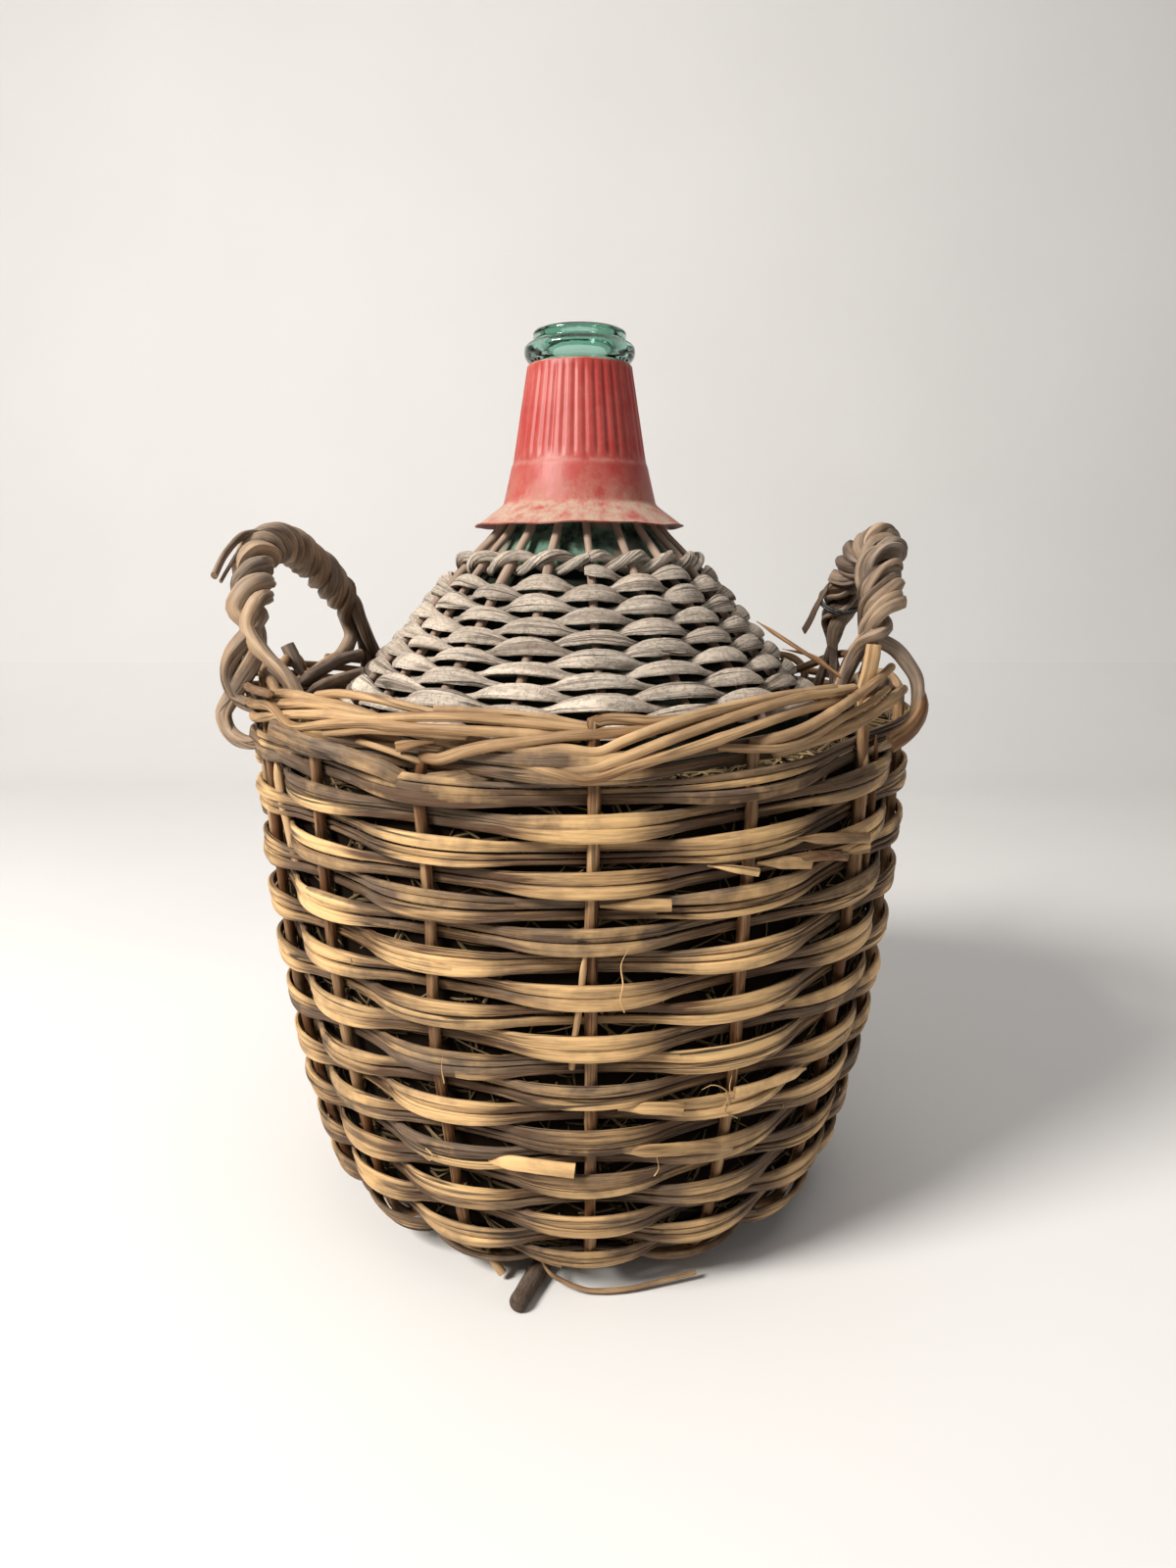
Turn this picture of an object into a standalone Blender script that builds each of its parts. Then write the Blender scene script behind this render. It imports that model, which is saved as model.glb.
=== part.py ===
"""A glass demijohn with a willow shoulder cover and a neck collar, standing on straw in a splint basket.

Metres, +Z up. The floor is z = 0 and the bottle's axis is x = y = 0. An angle is counted from the
front (-Y) towards the right (+X). Run it in Blender 4.5.
"""

import math

import bmesh
import bpy
from mathutils import Vector

TAU = 2 * math.pi

# Clearances
touch_gap = 0.0004
bed_gap = 0.0005
bend_gap = 0.0010
weld_distance = 0.000001
base_weave_gap = 0.0005

# Glass bottle
body_radius = 0.1475
body_height = 0.3330
neck_height = 0.1047
neck_radius = 0.0268
neck_root_radius = 0.0520
neck_bore_radius = 0.0190
glass_wall = 0.0040
punt_height = 0.0120
ring_radius = 0.0306
ring_height = 0.0108
lip_radius = 0.0257
lip_height = 0.0065
lip_round = 0.0017
glass_facets = 26

# (share of body_radius, share of body_height), from the foot to the root of the neck
body_shares = (
    (0.576, 0.000), (0.732, 0.0135), (0.841, 0.0465), (0.915, 0.102), (0.966, 0.192), (0.994, 0.312),
    (1.000, 0.447), (0.994, 0.5585), (0.963, 0.658), (0.895, 0.736), (0.780, 0.793), (0.641, 0.857),
    (0.525, 0.919), (0.437, 0.9625),
)
# (share of the step from neck_radius to neck_root_radius, share of neck_height)
neck_shares = ((1.0, 0.0), (0.651, 0.109), (0.399, 0.238), (0.225, 0.386), (0.120, 0.554), (0.0, 1.0))

# Neck collar
collar_wall = 0.0018
collar_stand = 0.0169
collar_sleeve_flare = 0.0084
collar_ledge = 0.0016
collar_ledge_drop = 0.0050
collar_skirt_height = 0.0175
collar_skirt_flare = 0.0042
collar_brim_height = 0.0124
collar_brim_flare = 0.0163
collar_facets = 28

# Shoulder cover
cover_stakes = 19
cover_stake_radius = 0.0025
cover_strip_width = 0.0066
cover_strip_thickness = 0.0032
cover_row_gap = 0.0007
cover_rounds = (7, 6)
pairing_rod_radius = 0.0019
pairing_rise = 0.0024
pairing_room = 0.0062
pairing_drop = 0.0110
cover_tip_length = 0.0255
cover_tip_lean = 0.0030
cover_foot_share = 0.660

# Straw packing
straw_floor = 0.0136
straw_side = 0.0125
straw_side_gap = 0.0028
straw_top_share = 0.700

# Side stakes of the basket: the angle of each, in degrees, chosen from what the front shows
stake_degrees = (
    1.8, 25.0, 48.5, 73.0, 97.6, 122.2, 149.9, 177.6, 205.3, 233.0, 254.7, 276.3, 298.0, 316.5, 337.2,
)
stake_radius = 0.0028
spoke_start_radius = 0.0300
strip_thickness = 0.0025
row_gap = 0.0013
side_rounds = (6, 6, 5, 5)
wall_foot_height = 0.0026
wall_above_straw = 0.0055

# (share of the wall's radius at the bottle's belly, share of the wall's height), from the base to the border
wall_shares = (
    (0.638, 0.000), (0.742, 0.004), (0.797, 0.027), (0.836, 0.077), (0.874, 0.170), (0.921, 0.328),
    (0.965, 0.521), (0.994, 0.729), (1.010, 1.000),
)

# Base
runner_radius = 0.0046
runner_sides = 8
runner_spacing = 0.0240
runner_end_gap = 0.0030
runner_overhang = 0.0495
runner_turn = 20.0
base_strip_width = 0.0105
base_row_gap = 0.0012
base_start_radius = 0.0560
foot_ring_width = 0.0060
foot_ring_inset = 0.0010
foot_ring_facets = 30

# Border and the rise of the rim towards the handles
rim_rise = 0.0140
rim_rise_start_share = 0.40
border_room = 0.0145
border_step = 0.0032
border_sides = 6

# (stakes passed, share of the way in or out, steps up), chosen so that no two rods meet
border_route_shares = (
    (0.0, 0.0, 3.3), (0.5, -0.72, 2.4), (1.0, -1.08, -0.4), (1.5, -0.10, -3.6), (2.0, 1.0, -3.3),
    (2.5, 1.0, -2.4), (3.0, 1.0, -1.2), (3.5, 1.0, -0.1), (4.0, 1.0, 0.9), (4.35, 1.0, 1.5),
)

# Handles
bow_radius = 0.0035
strand_radius = 0.0036
strands_per_handle = 3
strand_turns = 5
points_per_turn = 6
handle_spring = 0.0180
handle_rise = 0.0580
handle_lean = {"right": -0.0090, "left": -0.0020}
handle_set_out = 0.0045
handle_flatness_share = 0.62
handle_points = 19
strand_end_drop = 0.0320
strand_inner_drop = 0.0350
handle_places = {"right": (2.0, 4.5), "left": (9.0, 11.6)}

# Wire tie on the right handle
wire_radius = 0.0010
wire_facets = 18
wire_place_share = 0.80

# Levels and radii that follow from the sizes above
half_strip = strip_thickness / 2
weave_reach = stake_radius + touch_gap + strip_thickness
base_level = 2 * runner_radius + touch_gap + strip_thickness + base_weave_gap + stake_radius
straw_level = base_level + stake_radius + base_weave_gap + strip_thickness + touch_gap
foot_level = straw_level + straw_floor + bed_gap
straw_top = foot_level + straw_top_share * body_height
wall_height = straw_top + wall_above_straw - base_level
neck_level = foot_level + body_height
neck_top_level = neck_level + neck_height
collar_sleeve_height = neck_height - touch_gap - collar_stand - collar_ledge_drop - collar_skirt_height
collar_sleeve_height -= collar_brim_height
cover_reach = bend_gap + cover_strip_thickness + touch_gap + cover_stake_radius
bottle_reach = body_radius + cover_reach + cover_stake_radius
belly_radius = bottle_reach + bed_gap + straw_side + straw_side_gap + weave_reach
foot_ring_outer = wall_shares[0][0] * belly_radius - foot_ring_inset
foot_ring_inner = foot_ring_outer - foot_ring_width
runner_half_length = math.sqrt(foot_ring_inner**2 - (runner_spacing + runner_radius) ** 2) - runner_end_gap


class Outline:
    """A line of (radius, height) points, read by distance along it, with a smooth outward normal."""

    def __init__(self, points):
        self.points = [Vector(point) for point in points]
        self.reach = [0.0]
        normals = []
        for first, second in zip(self.points, self.points[1:]):
            step = second - first
            self.reach.append(self.reach[-1] + step.length)
            normals.append(Vector((step.y, -step.x)).normalized())
        ends = [normals[0], *normals, normals[-1]]
        self.normals = [(a + b).normalized() for a, b in zip(ends, ends[1:])]
        self.length = self.reach[-1]

    def span(self, distance):
        for index in range(len(self.reach) - 2):
            if distance <= self.reach[index + 1]:
                return index
        return len(self.reach) - 2

    def at(self, distance, offset=0.0):
        index = self.span(distance)
        share = (distance - self.reach[index]) / (self.reach[index + 1] - self.reach[index])
        point = self.points[index].lerp(self.points[index + 1], share)
        clamped = min(max(share, 0.0), 1.0)
        normal = self.normals[index].lerp(self.normals[index + 1], clamped).normalized()
        return point + offset * normal

    def bulge(self, low, high):
        """How far the line stands outside the straight chord from low to high."""
        start = self.at(low)
        chord = self.at(high) - start
        across = Vector((chord.y, -chord.x)).normalized()
        inside = [p for p, d in zip(self.points, self.reach) if low < d < high]
        return max([(p - start).dot(across) for p in inside] + [0.0])

    def where_height(self, height):
        for index, (low, high) in enumerate(zip(self.points, self.points[1:])):
            if low.y <= height <= high.y:
                share = (height - low.y) / (high.y - low.y)
                return self.reach[index] + share * (self.reach[index + 1] - self.reach[index])
        return self.length


def smooth_step(value):
    value = min(max(value, 0.0), 1.0)
    return value * value * (3 - 2 * value)


def turned(angle, radius, height):
    """The point at this angle (radians from the front), radius and height."""
    return Vector((radius * math.sin(angle), -radius * math.cos(angle), height))


def clear_scene():
    for item in list(bpy.data.objects):
        bpy.data.objects.remove(item, do_unlink=True)


def material(name, colour, roughness, transmission=0.0):
    made = bpy.data.materials.new(name)
    made.use_nodes = True
    shader = made.node_tree.nodes["Principled BSDF"]
    shader.inputs["Base Color"].default_value = (*colour, 1.0)
    shader.inputs["Roughness"].default_value = roughness
    shader.inputs["Transmission Weight"].default_value = transmission
    made.diffuse_color = (*colour, 1.0)
    return made


def added(name, data, finish):
    item = bpy.data.objects.new(name, data)
    bpy.context.scene.collection.objects.link(item)
    data.materials.append(finish)
    return item


def mesh_object(name, shape, finish, smooth=False):
    bmesh.ops.recalc_face_normals(shape, faces=shape.faces)
    data = bpy.data.meshes.new(name)
    shape.to_mesh(data)
    shape.free()
    if smooth:
        data.shade_smooth()
        data.set_sharp_from_angle(angle=math.radians(40))
    return added(name, data, finish)


def rod(name, points, radius, finish, sides=6, tip_share=1.0):
    """A round rod through the points, its radius tapering to tip_share at the last one."""
    data = bpy.data.curves.new(name, "CURVE")
    data.dimensions = "3D"
    data.bevel_depth = radius
    data.bevel_resolution = (sides - 4) // 2
    data.use_fill_caps = True
    spline = data.splines.new("POLY")
    spline.points.add(len(points) - 1)
    for index, point in enumerate(points):
        spline.points[index].co = (*point, 1.0)
        spline.points[index].radius = 1.0 + (tip_share - 1.0) * index / (len(points) - 1)
    return added(name, data, finish)


def ribbon(name, stations, finish, closed=False):
    """A flat strip lofted through four-cornered stations."""
    shape = bmesh.new()
    loops = [[shape.verts.new(corner) for corner in station] for station in stations]
    pairs = list(zip(loops, loops[1:]))
    if closed:
        pairs.append((loops[-1], loops[0]))
    for first, second in pairs:
        for index in range(4):
            after = (index + 1) % 4
            shape.faces.new((first[index], first[after], second[after], second[index]))
    if not closed:
        shape.faces.new(loops[0])
        shape.faces.new(loops[-1])
    return mesh_object(name, shape, finish)


def lathe(name, profile, facets, finish, closed=True):
    """Turns a (radius, height) profile about the bottle's axis."""
    shape = bmesh.new()
    corners = [shape.verts.new((0.0, -radius, height)) for radius, height in profile]
    edges = [shape.edges.new(pair) for pair in zip(corners, corners[1:])]
    if closed:
        edges.append(shape.edges.new((corners[-1], corners[0])))
    bmesh.ops.spin(
        shape, geom=corners + edges, cent=(0, 0, 0), axis=(0, 0, 1), angle=TAU, steps=facets, use_merge=True
    )
    bmesh.ops.remove_doubles(shape, verts=shape.verts, dist=weld_distance)
    return mesh_object(name, shape, finish, smooth=True)


# Glass bottle


def bottle_outline():
    """The outside of the glass, from the foot up to the underside of the ring."""
    points = [(r * body_radius, foot_level + h * body_height) for r, h in body_shares]
    step = neck_root_radius - neck_radius
    points += [(neck_radius + r * step, neck_level + h * neck_height) for r, h in neck_shares]
    return Outline(points)


def bottle_inside(outline):
    """The inside of the glass, from the neck down to the foot. The neck's wall is thicker."""
    thick = neck_radius - neck_bore_radius
    points = []
    for point, normal in zip(outline.points, outline.normals):
        share = min(max((point.y - neck_level) / neck_height, 0.0), 1.0)
        wall = glass_wall + share * (thick - glass_wall)
        points.append(point - wall * normal)
    return [tuple(point) for point in reversed(points)]


def build_bottle(outline, finish):
    ring_bottom = neck_top_level
    ring_top = ring_bottom + ring_height
    lip_top = ring_top + lip_height
    ring_round = ring_height / 4
    neck_step = (ring_radius - neck_radius) / 2
    outside = [tuple(point) for point in outline.points]
    finish_profile = [
        (neck_radius + neck_step, ring_bottom + ring_round / 2),
        (ring_radius, ring_bottom + 2 * ring_round - ring_round / 2),
        (ring_radius, ring_top - ring_round),
        (neck_radius + neck_step, ring_top - ring_round / 4),
        (lip_radius, ring_top),
        (lip_radius, lip_top - lip_round),
        (lip_radius - lip_round, lip_top),
        (neck_bore_radius + lip_round, lip_top),
        (neck_bore_radius, lip_top - lip_round),
    ]
    inside = bottle_inside(outline)
    bottom = [(0.0, foot_level + punt_height + glass_wall)]
    punt = [(0.0, foot_level + punt_height)]
    profile = punt + outside + finish_profile + inside + bottom
    return lathe("glass_bottle", profile, glass_facets, finish, closed=False)


# Neck collar


def collar_profile():
    """The collar's outside from the top down, then its inside from the brim up."""
    top = neck_top_level - touch_gap
    radius = neck_radius + touch_gap + collar_wall
    outside = [(radius, top)]
    steps = (
        (collar_sleeve_flare, collar_sleeve_height),
        (collar_ledge, collar_ledge_drop),
        (collar_skirt_flare, collar_skirt_height),
        (collar_brim_flare, collar_brim_height),
    )
    for out, down in steps:
        last_radius, last_height = outside[-1]
        outside.append((last_radius + out, last_height - down))
    inside = [(r - collar_wall, h - collar_wall / 2) for r, h in outside[1:-1]]
    top_inside = (radius - collar_wall, top)
    brim_inside = (outside[-1][0] - collar_wall, outside[-1][1])
    return [*outside, brim_inside, *inside[::-1], top_inside]


def build_collar(finish):
    return lathe("neck_collar", collar_profile(), collar_facets, finish)


# Shoulder cover


def cover_angle(step):
    return TAU * (step + 0.25) / cover_stakes


def build_cover(outline, rod_finish, strip_finish):
    """Bare stakes lean on the neck above the pairing, carry the weave on the shoulder and end in the straw."""
    foot = outline.where_height(foot_level + cover_foot_share * body_height)
    top = outline.where_height(neck_level)
    tip = outline.where_height(neck_level) + cover_tip_length
    marks = [foot] + [d for d in outline.reach if foot < d < top] + [top]
    for index in range(cover_stakes):
        angle = cover_angle(index)
        places = [outline.at(mark, cover_reach) for mark in marks]
        places.append(outline.at((top + tip) / 2, cover_reach - cover_tip_lean / 2))
        places.append(outline.at(tip, cover_reach - cover_tip_lean))
        route = [turned(angle, place.x, place.y) for place in places]
        rod(f"cover_stake_{index + 1:02d}", route, cover_stake_radius, rod_finish, sides=4)
    pitch = cover_strip_width + cover_row_gap
    ring = top - pairing_drop
    row_top = ring - pairing_room
    step_start = 0
    for number, rounds in enumerate(cover_rounds, start=1):
        stations = []
        for step in range(step_start, step_start + rounds * cover_stakes):
            row = row_top - pitch * (0.5 + step / cover_stakes)
            side = 1 if step % 2 == 0 else -1
            low, high = row - cover_strip_width / 2, row + cover_strip_width / 2
            reach = cover_stake_radius + touch_gap
            inner = side * reach if side > 0 else -reach - cover_strip_thickness
            inner += cover_reach + (outline.bulge(low, high) if side > 0 else 0.0)
            outer = inner + cover_strip_thickness
            corners = ((low, inner), (high, inner), (high, outer), (low, outer))
            angle = cover_angle(step)
            stations.append([turned(angle, *outline.at(d, o)) for d, o in corners])
        ribbon(f"cover_weaver_{number}", stations, strip_finish)
        step_start += rounds * cover_stakes
    build_pairing(outline, ring, rod_finish)


def build_pairing(outline, ring, finish):
    """Two rods twisted about each other round every stake, above the weave."""
    swing = cover_stake_radius + touch_gap + pairing_rod_radius
    for rod_number in (0, 1):
        route = []
        for half in range(2 * cover_stakes):
            phase = math.pi * (half / 2 + rod_number)
            place = outline.at(ring + pairing_rise * math.sin(phase), cover_reach + swing * math.cos(phase))
            route.append(turned(cover_angle(half / 2), place.x, place.y))
        rod(f"cover_pairing_rod_{rod_number + 1}", route, pairing_rod_radius, finish, sides=4)


# Basket wall


def wall_outline():
    """The line of the stakes' centres, from the base up to the border."""
    return Outline([(r * belly_radius, base_level + h * wall_height) for r, h in wall_shares])


def stake_angle(place):
    """The angle of a place counted in stakes, part way between two of them where it isn't whole."""
    whole = math.floor(place)
    count = len(stake_degrees)
    here = stake_degrees[whole % count] + 360 * (whole // count)
    after = stake_degrees[(whole + 1) % count] + 360 * ((whole + 1) // count)
    return math.radians(here + (place - whole) * (after - here))


def on_basket(angle, radius, height):
    """A point of the wall or border, lifted where the rim rises towards the handles."""
    start = base_level + rim_rise_start_share * wall_height
    share = smooth_step((height - start) / (base_level + wall_height - start))
    return turned(angle, radius, height + rim_rise * share * math.sin(angle) ** 2)


def border_level():
    return base_level + wall_height + border_room


def border_top():
    """The level of the bends at the stakes' tops."""
    return border_level() + border_route_shares[0][2] * border_step


def rod_step():
    """From the middle of one rod to the middle of the next, in or out."""
    return 2 * stake_radius + touch_gap


def border_route(index, radius):
    """A stake's end, bent to the right at the top, behind one stake and in front of the next three."""
    route = []
    for passed, way, steps in border_route_shares:
        angle = stake_angle(index + passed)
        route.append(on_basket(angle, radius + way * rod_step(), border_level() + steps * border_step))
    return route


def build_stakes(outline, finish):
    top = outline.points[-1]
    for index in range(len(stake_degrees)):
        angle = stake_angle(index)
        route = [on_basket(angle, spoke_start_radius, base_level)]
        route += [on_basket(angle, point.x, point.y) for point in outline.points]
        route += border_route(index, top.x)
        rod(f"side_stake_{index + 1:02d}", route, stake_radius, finish, sides=border_sides)


def row_pitch(outline):
    return (outline.length - wall_foot_height) / sum(side_rounds)


def build_weavers(outline, finish):
    """Long double strips that go in front of one stake and behind the next, round and round."""
    pitch = row_pitch(outline)
    height = pitch - row_gap
    count = len(stake_degrees)
    start = 0
    for number, rounds in enumerate(side_rounds, start=1):
        stations = []
        for step in range(start, start + rounds * count):
            side = 1 if step % 2 == 0 else -1
            row = wall_foot_height + pitch * (0.5 + step / count)
            low = row - height / 2
            high = min(row + height / 2, outline.length)
            reach = stake_radius + touch_gap
            inner = reach + outline.bulge(low, high) if side > 0 else -reach - strip_thickness
            outer = inner + strip_thickness
            corners = ((low, inner), (high, inner), (high, outer), (low, outer))
            angle = stake_angle(step)
            stations.append([on_basket(angle, *outline.at(d, o)) for d, o in corners])
        ribbon(f"side_weaver_{number}", stations, finish)
        start += rounds * count


# Base


def runner_ends(number):
    """The two ends of a runner, where only the right-hand one passes under the front of the foot ring."""
    turn = math.radians(runner_turn)
    along = Vector((-math.sin(turn), -math.cos(turn), 0.0))
    across = Vector((math.cos(turn), -math.sin(turn), 0.0))
    middle = across * runner_spacing * (number - 1) + Vector((0.0, 0.0, runner_radius))
    front = runner_half_length + (foot_ring_width + runner_overhang if number == 2 else 0.0)
    return middle - along * runner_half_length, middle + along * front


def flat_rod(name, ends, radius, finish):
    """A stick with flat sides that lies on one of them."""
    shape = bmesh.new()
    start, end = ends
    up = Vector((0, 0, 1))
    across = (end - start).cross(up).normalized()
    spoke = radius / math.cos(math.pi / runner_sides)
    loops = []
    for centre in (start, end):
        loop = []
        for corner in range(runner_sides):
            angle = TAU * (corner + 0.5) / runner_sides
            reach = spoke * (math.sin(angle) * across + math.cos(angle) * up)
            loop.append(shape.verts.new(centre + reach))
        loops.append(loop)
    for corner in range(runner_sides):
        after = (corner + 1) % runner_sides
        shape.faces.new((loops[0][corner], loops[0][after], loops[1][after], loops[1][corner]))
    shape.faces.new(loops[0])
    shape.faces.new(loops[1])
    return mesh_object(name, shape, finish)


def build_base(outline, stick_finish, strip_finish):
    names = ("base_runner_left", "base_runner_middle", "base_runner_right")
    for number, name in enumerate(names):
        flat_rod(name, runner_ends(number), runner_radius, stick_finish)
    count = len(stake_degrees)
    pitch = base_strip_width + base_row_gap
    edge = outline.points[0].x
    rounds = int((edge - base_start_radius) / pitch)
    stations = []
    for step in range(rounds * count + 1):
        side = 1 if step % 2 == 0 else -1
        radius = base_start_radius + pitch * step / count
        level = base_level + side * (stake_radius + base_weave_gap + half_strip)
        inner, outer = radius, radius + base_strip_width
        low, high = level - half_strip, level + half_strip
        corners = ((inner, low), (outer, low), (outer, high), (inner, high))
        stations.append([turned(stake_angle(step), r, h) for r, h in corners])
    ribbon("base_weaver", stations, strip_finish)
    build_foot_ring(strip_finish)


def build_foot_ring(finish):
    """The strip under the stakes' bend that stands on the floor, notched over the long runner."""
    inner, outer, top = foot_ring_inner, foot_ring_outer, 2 * runner_radius
    profile = [(inner, 0.0), (outer, 0.0), (outer, top), (inner, top)]
    ring = lathe("foot_ring", profile, foot_ring_facets, finish)
    cutter = flat_rod("runner_notch_cutter", runner_ends(2), runner_radius + touch_gap, finish)
    cutter.hide_render = True
    cutter.display_type = "WIRE"
    notch = ring.modifiers.new("runner_notch", "BOOLEAN")
    notch.operation = "DIFFERENCE"
    notch.object = cutter
    return ring


# Straw packing


def build_straw(bottle, wall, finish):
    """A cup of straw between the basket and the bottle, with a ledge under the cover's stakes."""
    cover_foot = bottle.where_height(foot_level + cover_foot_share * body_height)
    ledge = bottle.at(cover_foot, cover_reach).y - cover_stake_radius - bed_gap
    mouth = max(bottle.at(cover_foot, cover_reach + cover_stake_radius).x, body_radius) + bend_gap
    mouth /= math.cos(math.pi / glass_facets)
    room = weave_reach + straw_side_gap
    reach = row_pitch(wall) / 2
    outside = []
    for point, normal, place in zip(wall.points, wall.normals, wall.reach):
        bulge = wall.bulge(place - reach, place + reach)
        inner = point - (room + bulge) * normal
        if straw_level < inner.y < straw_top:
            outside.append(tuple(inner))
    outer_top = wall.at(wall.where_height(straw_top), -room).x
    outside = [(0.0, straw_level), (wall.points[0].x - room, straw_level), *outside, (outer_top, straw_top)]
    inside = [(mouth, straw_top), (mouth, ledge)]
    for point, normal in reversed(list(zip(bottle.points, bottle.normals))):
        place = point + bed_gap * normal
        if foot_level < point.y < ledge - cover_reach:
            inside.append(tuple(place))
    inside.append((bottle.points[0].x, foot_level - bed_gap))
    inside.append((0.0, foot_level - bed_gap))
    return lathe("straw_packing", outside + inside, glass_facets, finish, closed=False)


# Handles


def handle_radius(outline):
    """The bow's legs stand inside the border's inner rods."""
    inner_rod = outline.points[-1].x + min(way for _, way, _ in border_route_shares) * rod_step()
    return inner_rod - stake_radius - bend_gap - bow_radius


def bow_point(outline, side, share):
    """A point of the bow's arch, from share 0 at its first leg to share 1 at its other leg."""
    first, last = (stake_angle(place) for place in handle_places[side])
    turn = math.pi * share
    middle, half = (first + last) / 2, (last - first) / 2
    angle = middle - half * math.cos(turn)
    rise = math.sin(turn) ** handle_flatness_share if 0 < share < 1 else 0.0
    spring = on_basket(angle, 0.0, border_level()).z + handle_spring
    radius = handle_radius(outline) + handle_set_out + handle_lean[side] * rise
    return turned(angle, radius, spring + handle_rise * rise)


def bow_frames(outline, side, count):
    """Points along the arch at even distances, each with its outward and sideways directions."""
    fine = [bow_point(outline, side, k / 240) for k in range(241)]
    reach = [0.0]
    for first, second in zip(fine, fine[1:]):
        reach.append(reach[-1] + (second - first).length)
    frames = []
    index = 0
    for step in range(count + 1):
        wanted = reach[-1] * step / count
        while index < len(reach) - 2 and reach[index + 1] < wanted:
            index += 1
        share = (wanted - reach[index]) / (reach[index + 1] - reach[index])
        centre = fine[index].lerp(fine[index + 1], share)
        before, after = fine[max(index - 3, 0)], fine[min(index + 4, len(fine) - 1)]
        tangent = (after - before).normalized()
        outward = Vector((centre.x, centre.y, 0.0)).normalized()
        outward = (outward - outward.dot(tangent) * tangent).normalized()
        frames.append((centre, outward, tangent.cross(outward), tangent))
    return frames


def bow_leg(outline, place):
    """A leg stands on the straw and goes straight up past the border."""
    angle = stake_angle(place)
    radius = handle_radius(outline)
    return [turned(angle, radius, straw_top + bed_gap), on_basket(angle, radius, border_top())]


def strand_reach():
    """How far a strand's centre lies from the bow's, where the strand is straight between its points."""
    return (bow_radius + bed_gap + strand_radius) / math.cos(math.pi / points_per_turn)


def build_handle(outline, side, bow_finish, strand_finish):
    frames = bow_frames(outline, side, handle_points - 1)
    arch = [centre for centre, _, _, _ in frames]
    legs = [bow_leg(outline, place) for place in handle_places[side]]
    rod(f"handle_bow_{side}", legs[0] + arch + legs[1][::-1], bow_radius, bow_finish)
    reach = strand_reach()
    steps = strand_turns * points_per_turn
    frames = bow_frames(outline, side, steps)
    for number in range(strands_per_handle):
        helix = []
        for step, (centre, outward, sideways, _) in enumerate(frames):
            turn = TAU * (number / strands_per_handle + step / points_per_turn)
            helix.append(centre + reach * (math.cos(turn) * outward + math.sin(turn) * sideways))
        if number == 0:
            route = strand_foot(outline, helix[0])[::-1] + helix + strand_foot(outline, helix[-1])
        else:
            drop = Vector((0.0, 0.0, strand_inner_drop))
            route = [helix[0] - drop, *helix, helix[-1] - drop]
        rod(f"handle_strand_{side}_{number + 1}", route, strand_radius, strand_finish, sides=4)


def strand_foot(outline, start):
    """A strand's end goes over the border and down its outside."""
    angle = math.atan2(start.x, -start.y)
    beside = outline.points[-1].x + rod_step() + stake_radius + 2 * touch_gap + strand_radius
    top = on_basket(angle, beside, border_top()).z + stake_radius + 2 * touch_gap
    low = top - strand_end_drop
    return [turned(angle, beside, level) for level in (top, (top + low) / 2, low)]


def build_wire_tie(outline, finish):
    """A turn of wire round the right handle's back leg."""
    frames = bow_frames(outline, "right", 100)
    centre, outward, sideways, _ = frames[round(100 * wire_place_share)]
    reach = strand_reach() + strand_radius + touch_gap + wire_radius
    route = []
    for step in range(wire_facets):
        turn = TAU * step / wire_facets
        route.append(centre + reach * (math.cos(turn) * outward + math.sin(turn) * sideways))
    return rod("wire_tie", route, wire_radius, finish, sides=4)


def close_ring(item):
    """Joins a rod's last point to its first."""
    spline = item.data.splines[0]
    spline.use_cyclic_u = True
    item.data.use_fill_caps = False


def main():
    clear_scene()
    glass = material("green_glass", (0.12, 0.42, 0.30), 0.08, transmission=0.9)
    plastic = material("red_plastic", (0.50, 0.07, 0.05), 0.45)
    grey_rod = material("grey_willow_rod", (0.33, 0.25, 0.19), 0.85)
    grey_strip = material("grey_willow_strip", (0.40, 0.33, 0.26), 0.88)
    tan_strip = material("tan_splint", (0.55, 0.38, 0.20), 0.80)
    stake_rod = material("peeled_stake", (0.42, 0.27, 0.14), 0.75)
    handle_rod = material("handle_willow", (0.36, 0.25, 0.16), 0.82)
    bark_stick = material("bark_stick", (0.16, 0.10, 0.07), 0.90)
    straw = material("straw", (0.52, 0.42, 0.24), 0.95)
    wire = material("black_wire", (0.03, 0.03, 0.03), 0.50)

    bottle = bottle_outline()
    wall = wall_outline()
    build_bottle(bottle, glass)
    build_collar(plastic)
    build_cover(bottle, grey_rod, grey_strip)
    build_base(wall, bark_stick, tan_strip)
    build_stakes(wall, stake_rod)
    build_weavers(wall, tan_strip)
    build_straw(bottle, wall, straw)
    for side in handle_places:
        build_handle(wall, side, handle_rod, handle_rod)
    close_ring(build_wire_tie(wall, wire))
    for rod_number in (1, 2):
        close_ring(bpy.data.objects[f"cover_pairing_rod_{rod_number}"])


main()
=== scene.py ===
"""A wicker-covered bottle: a glass demijohn with a willow shoulder cover, in a splint basket on straw.

Laid out as a Blender add-on and run as a script. Metres, +Z up, the bottle's axis at x = y = 0. An angle
is counted from the front (-Y) towards the right (+X), and a place on the basket is counted in stakes.
"""

import math

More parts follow.
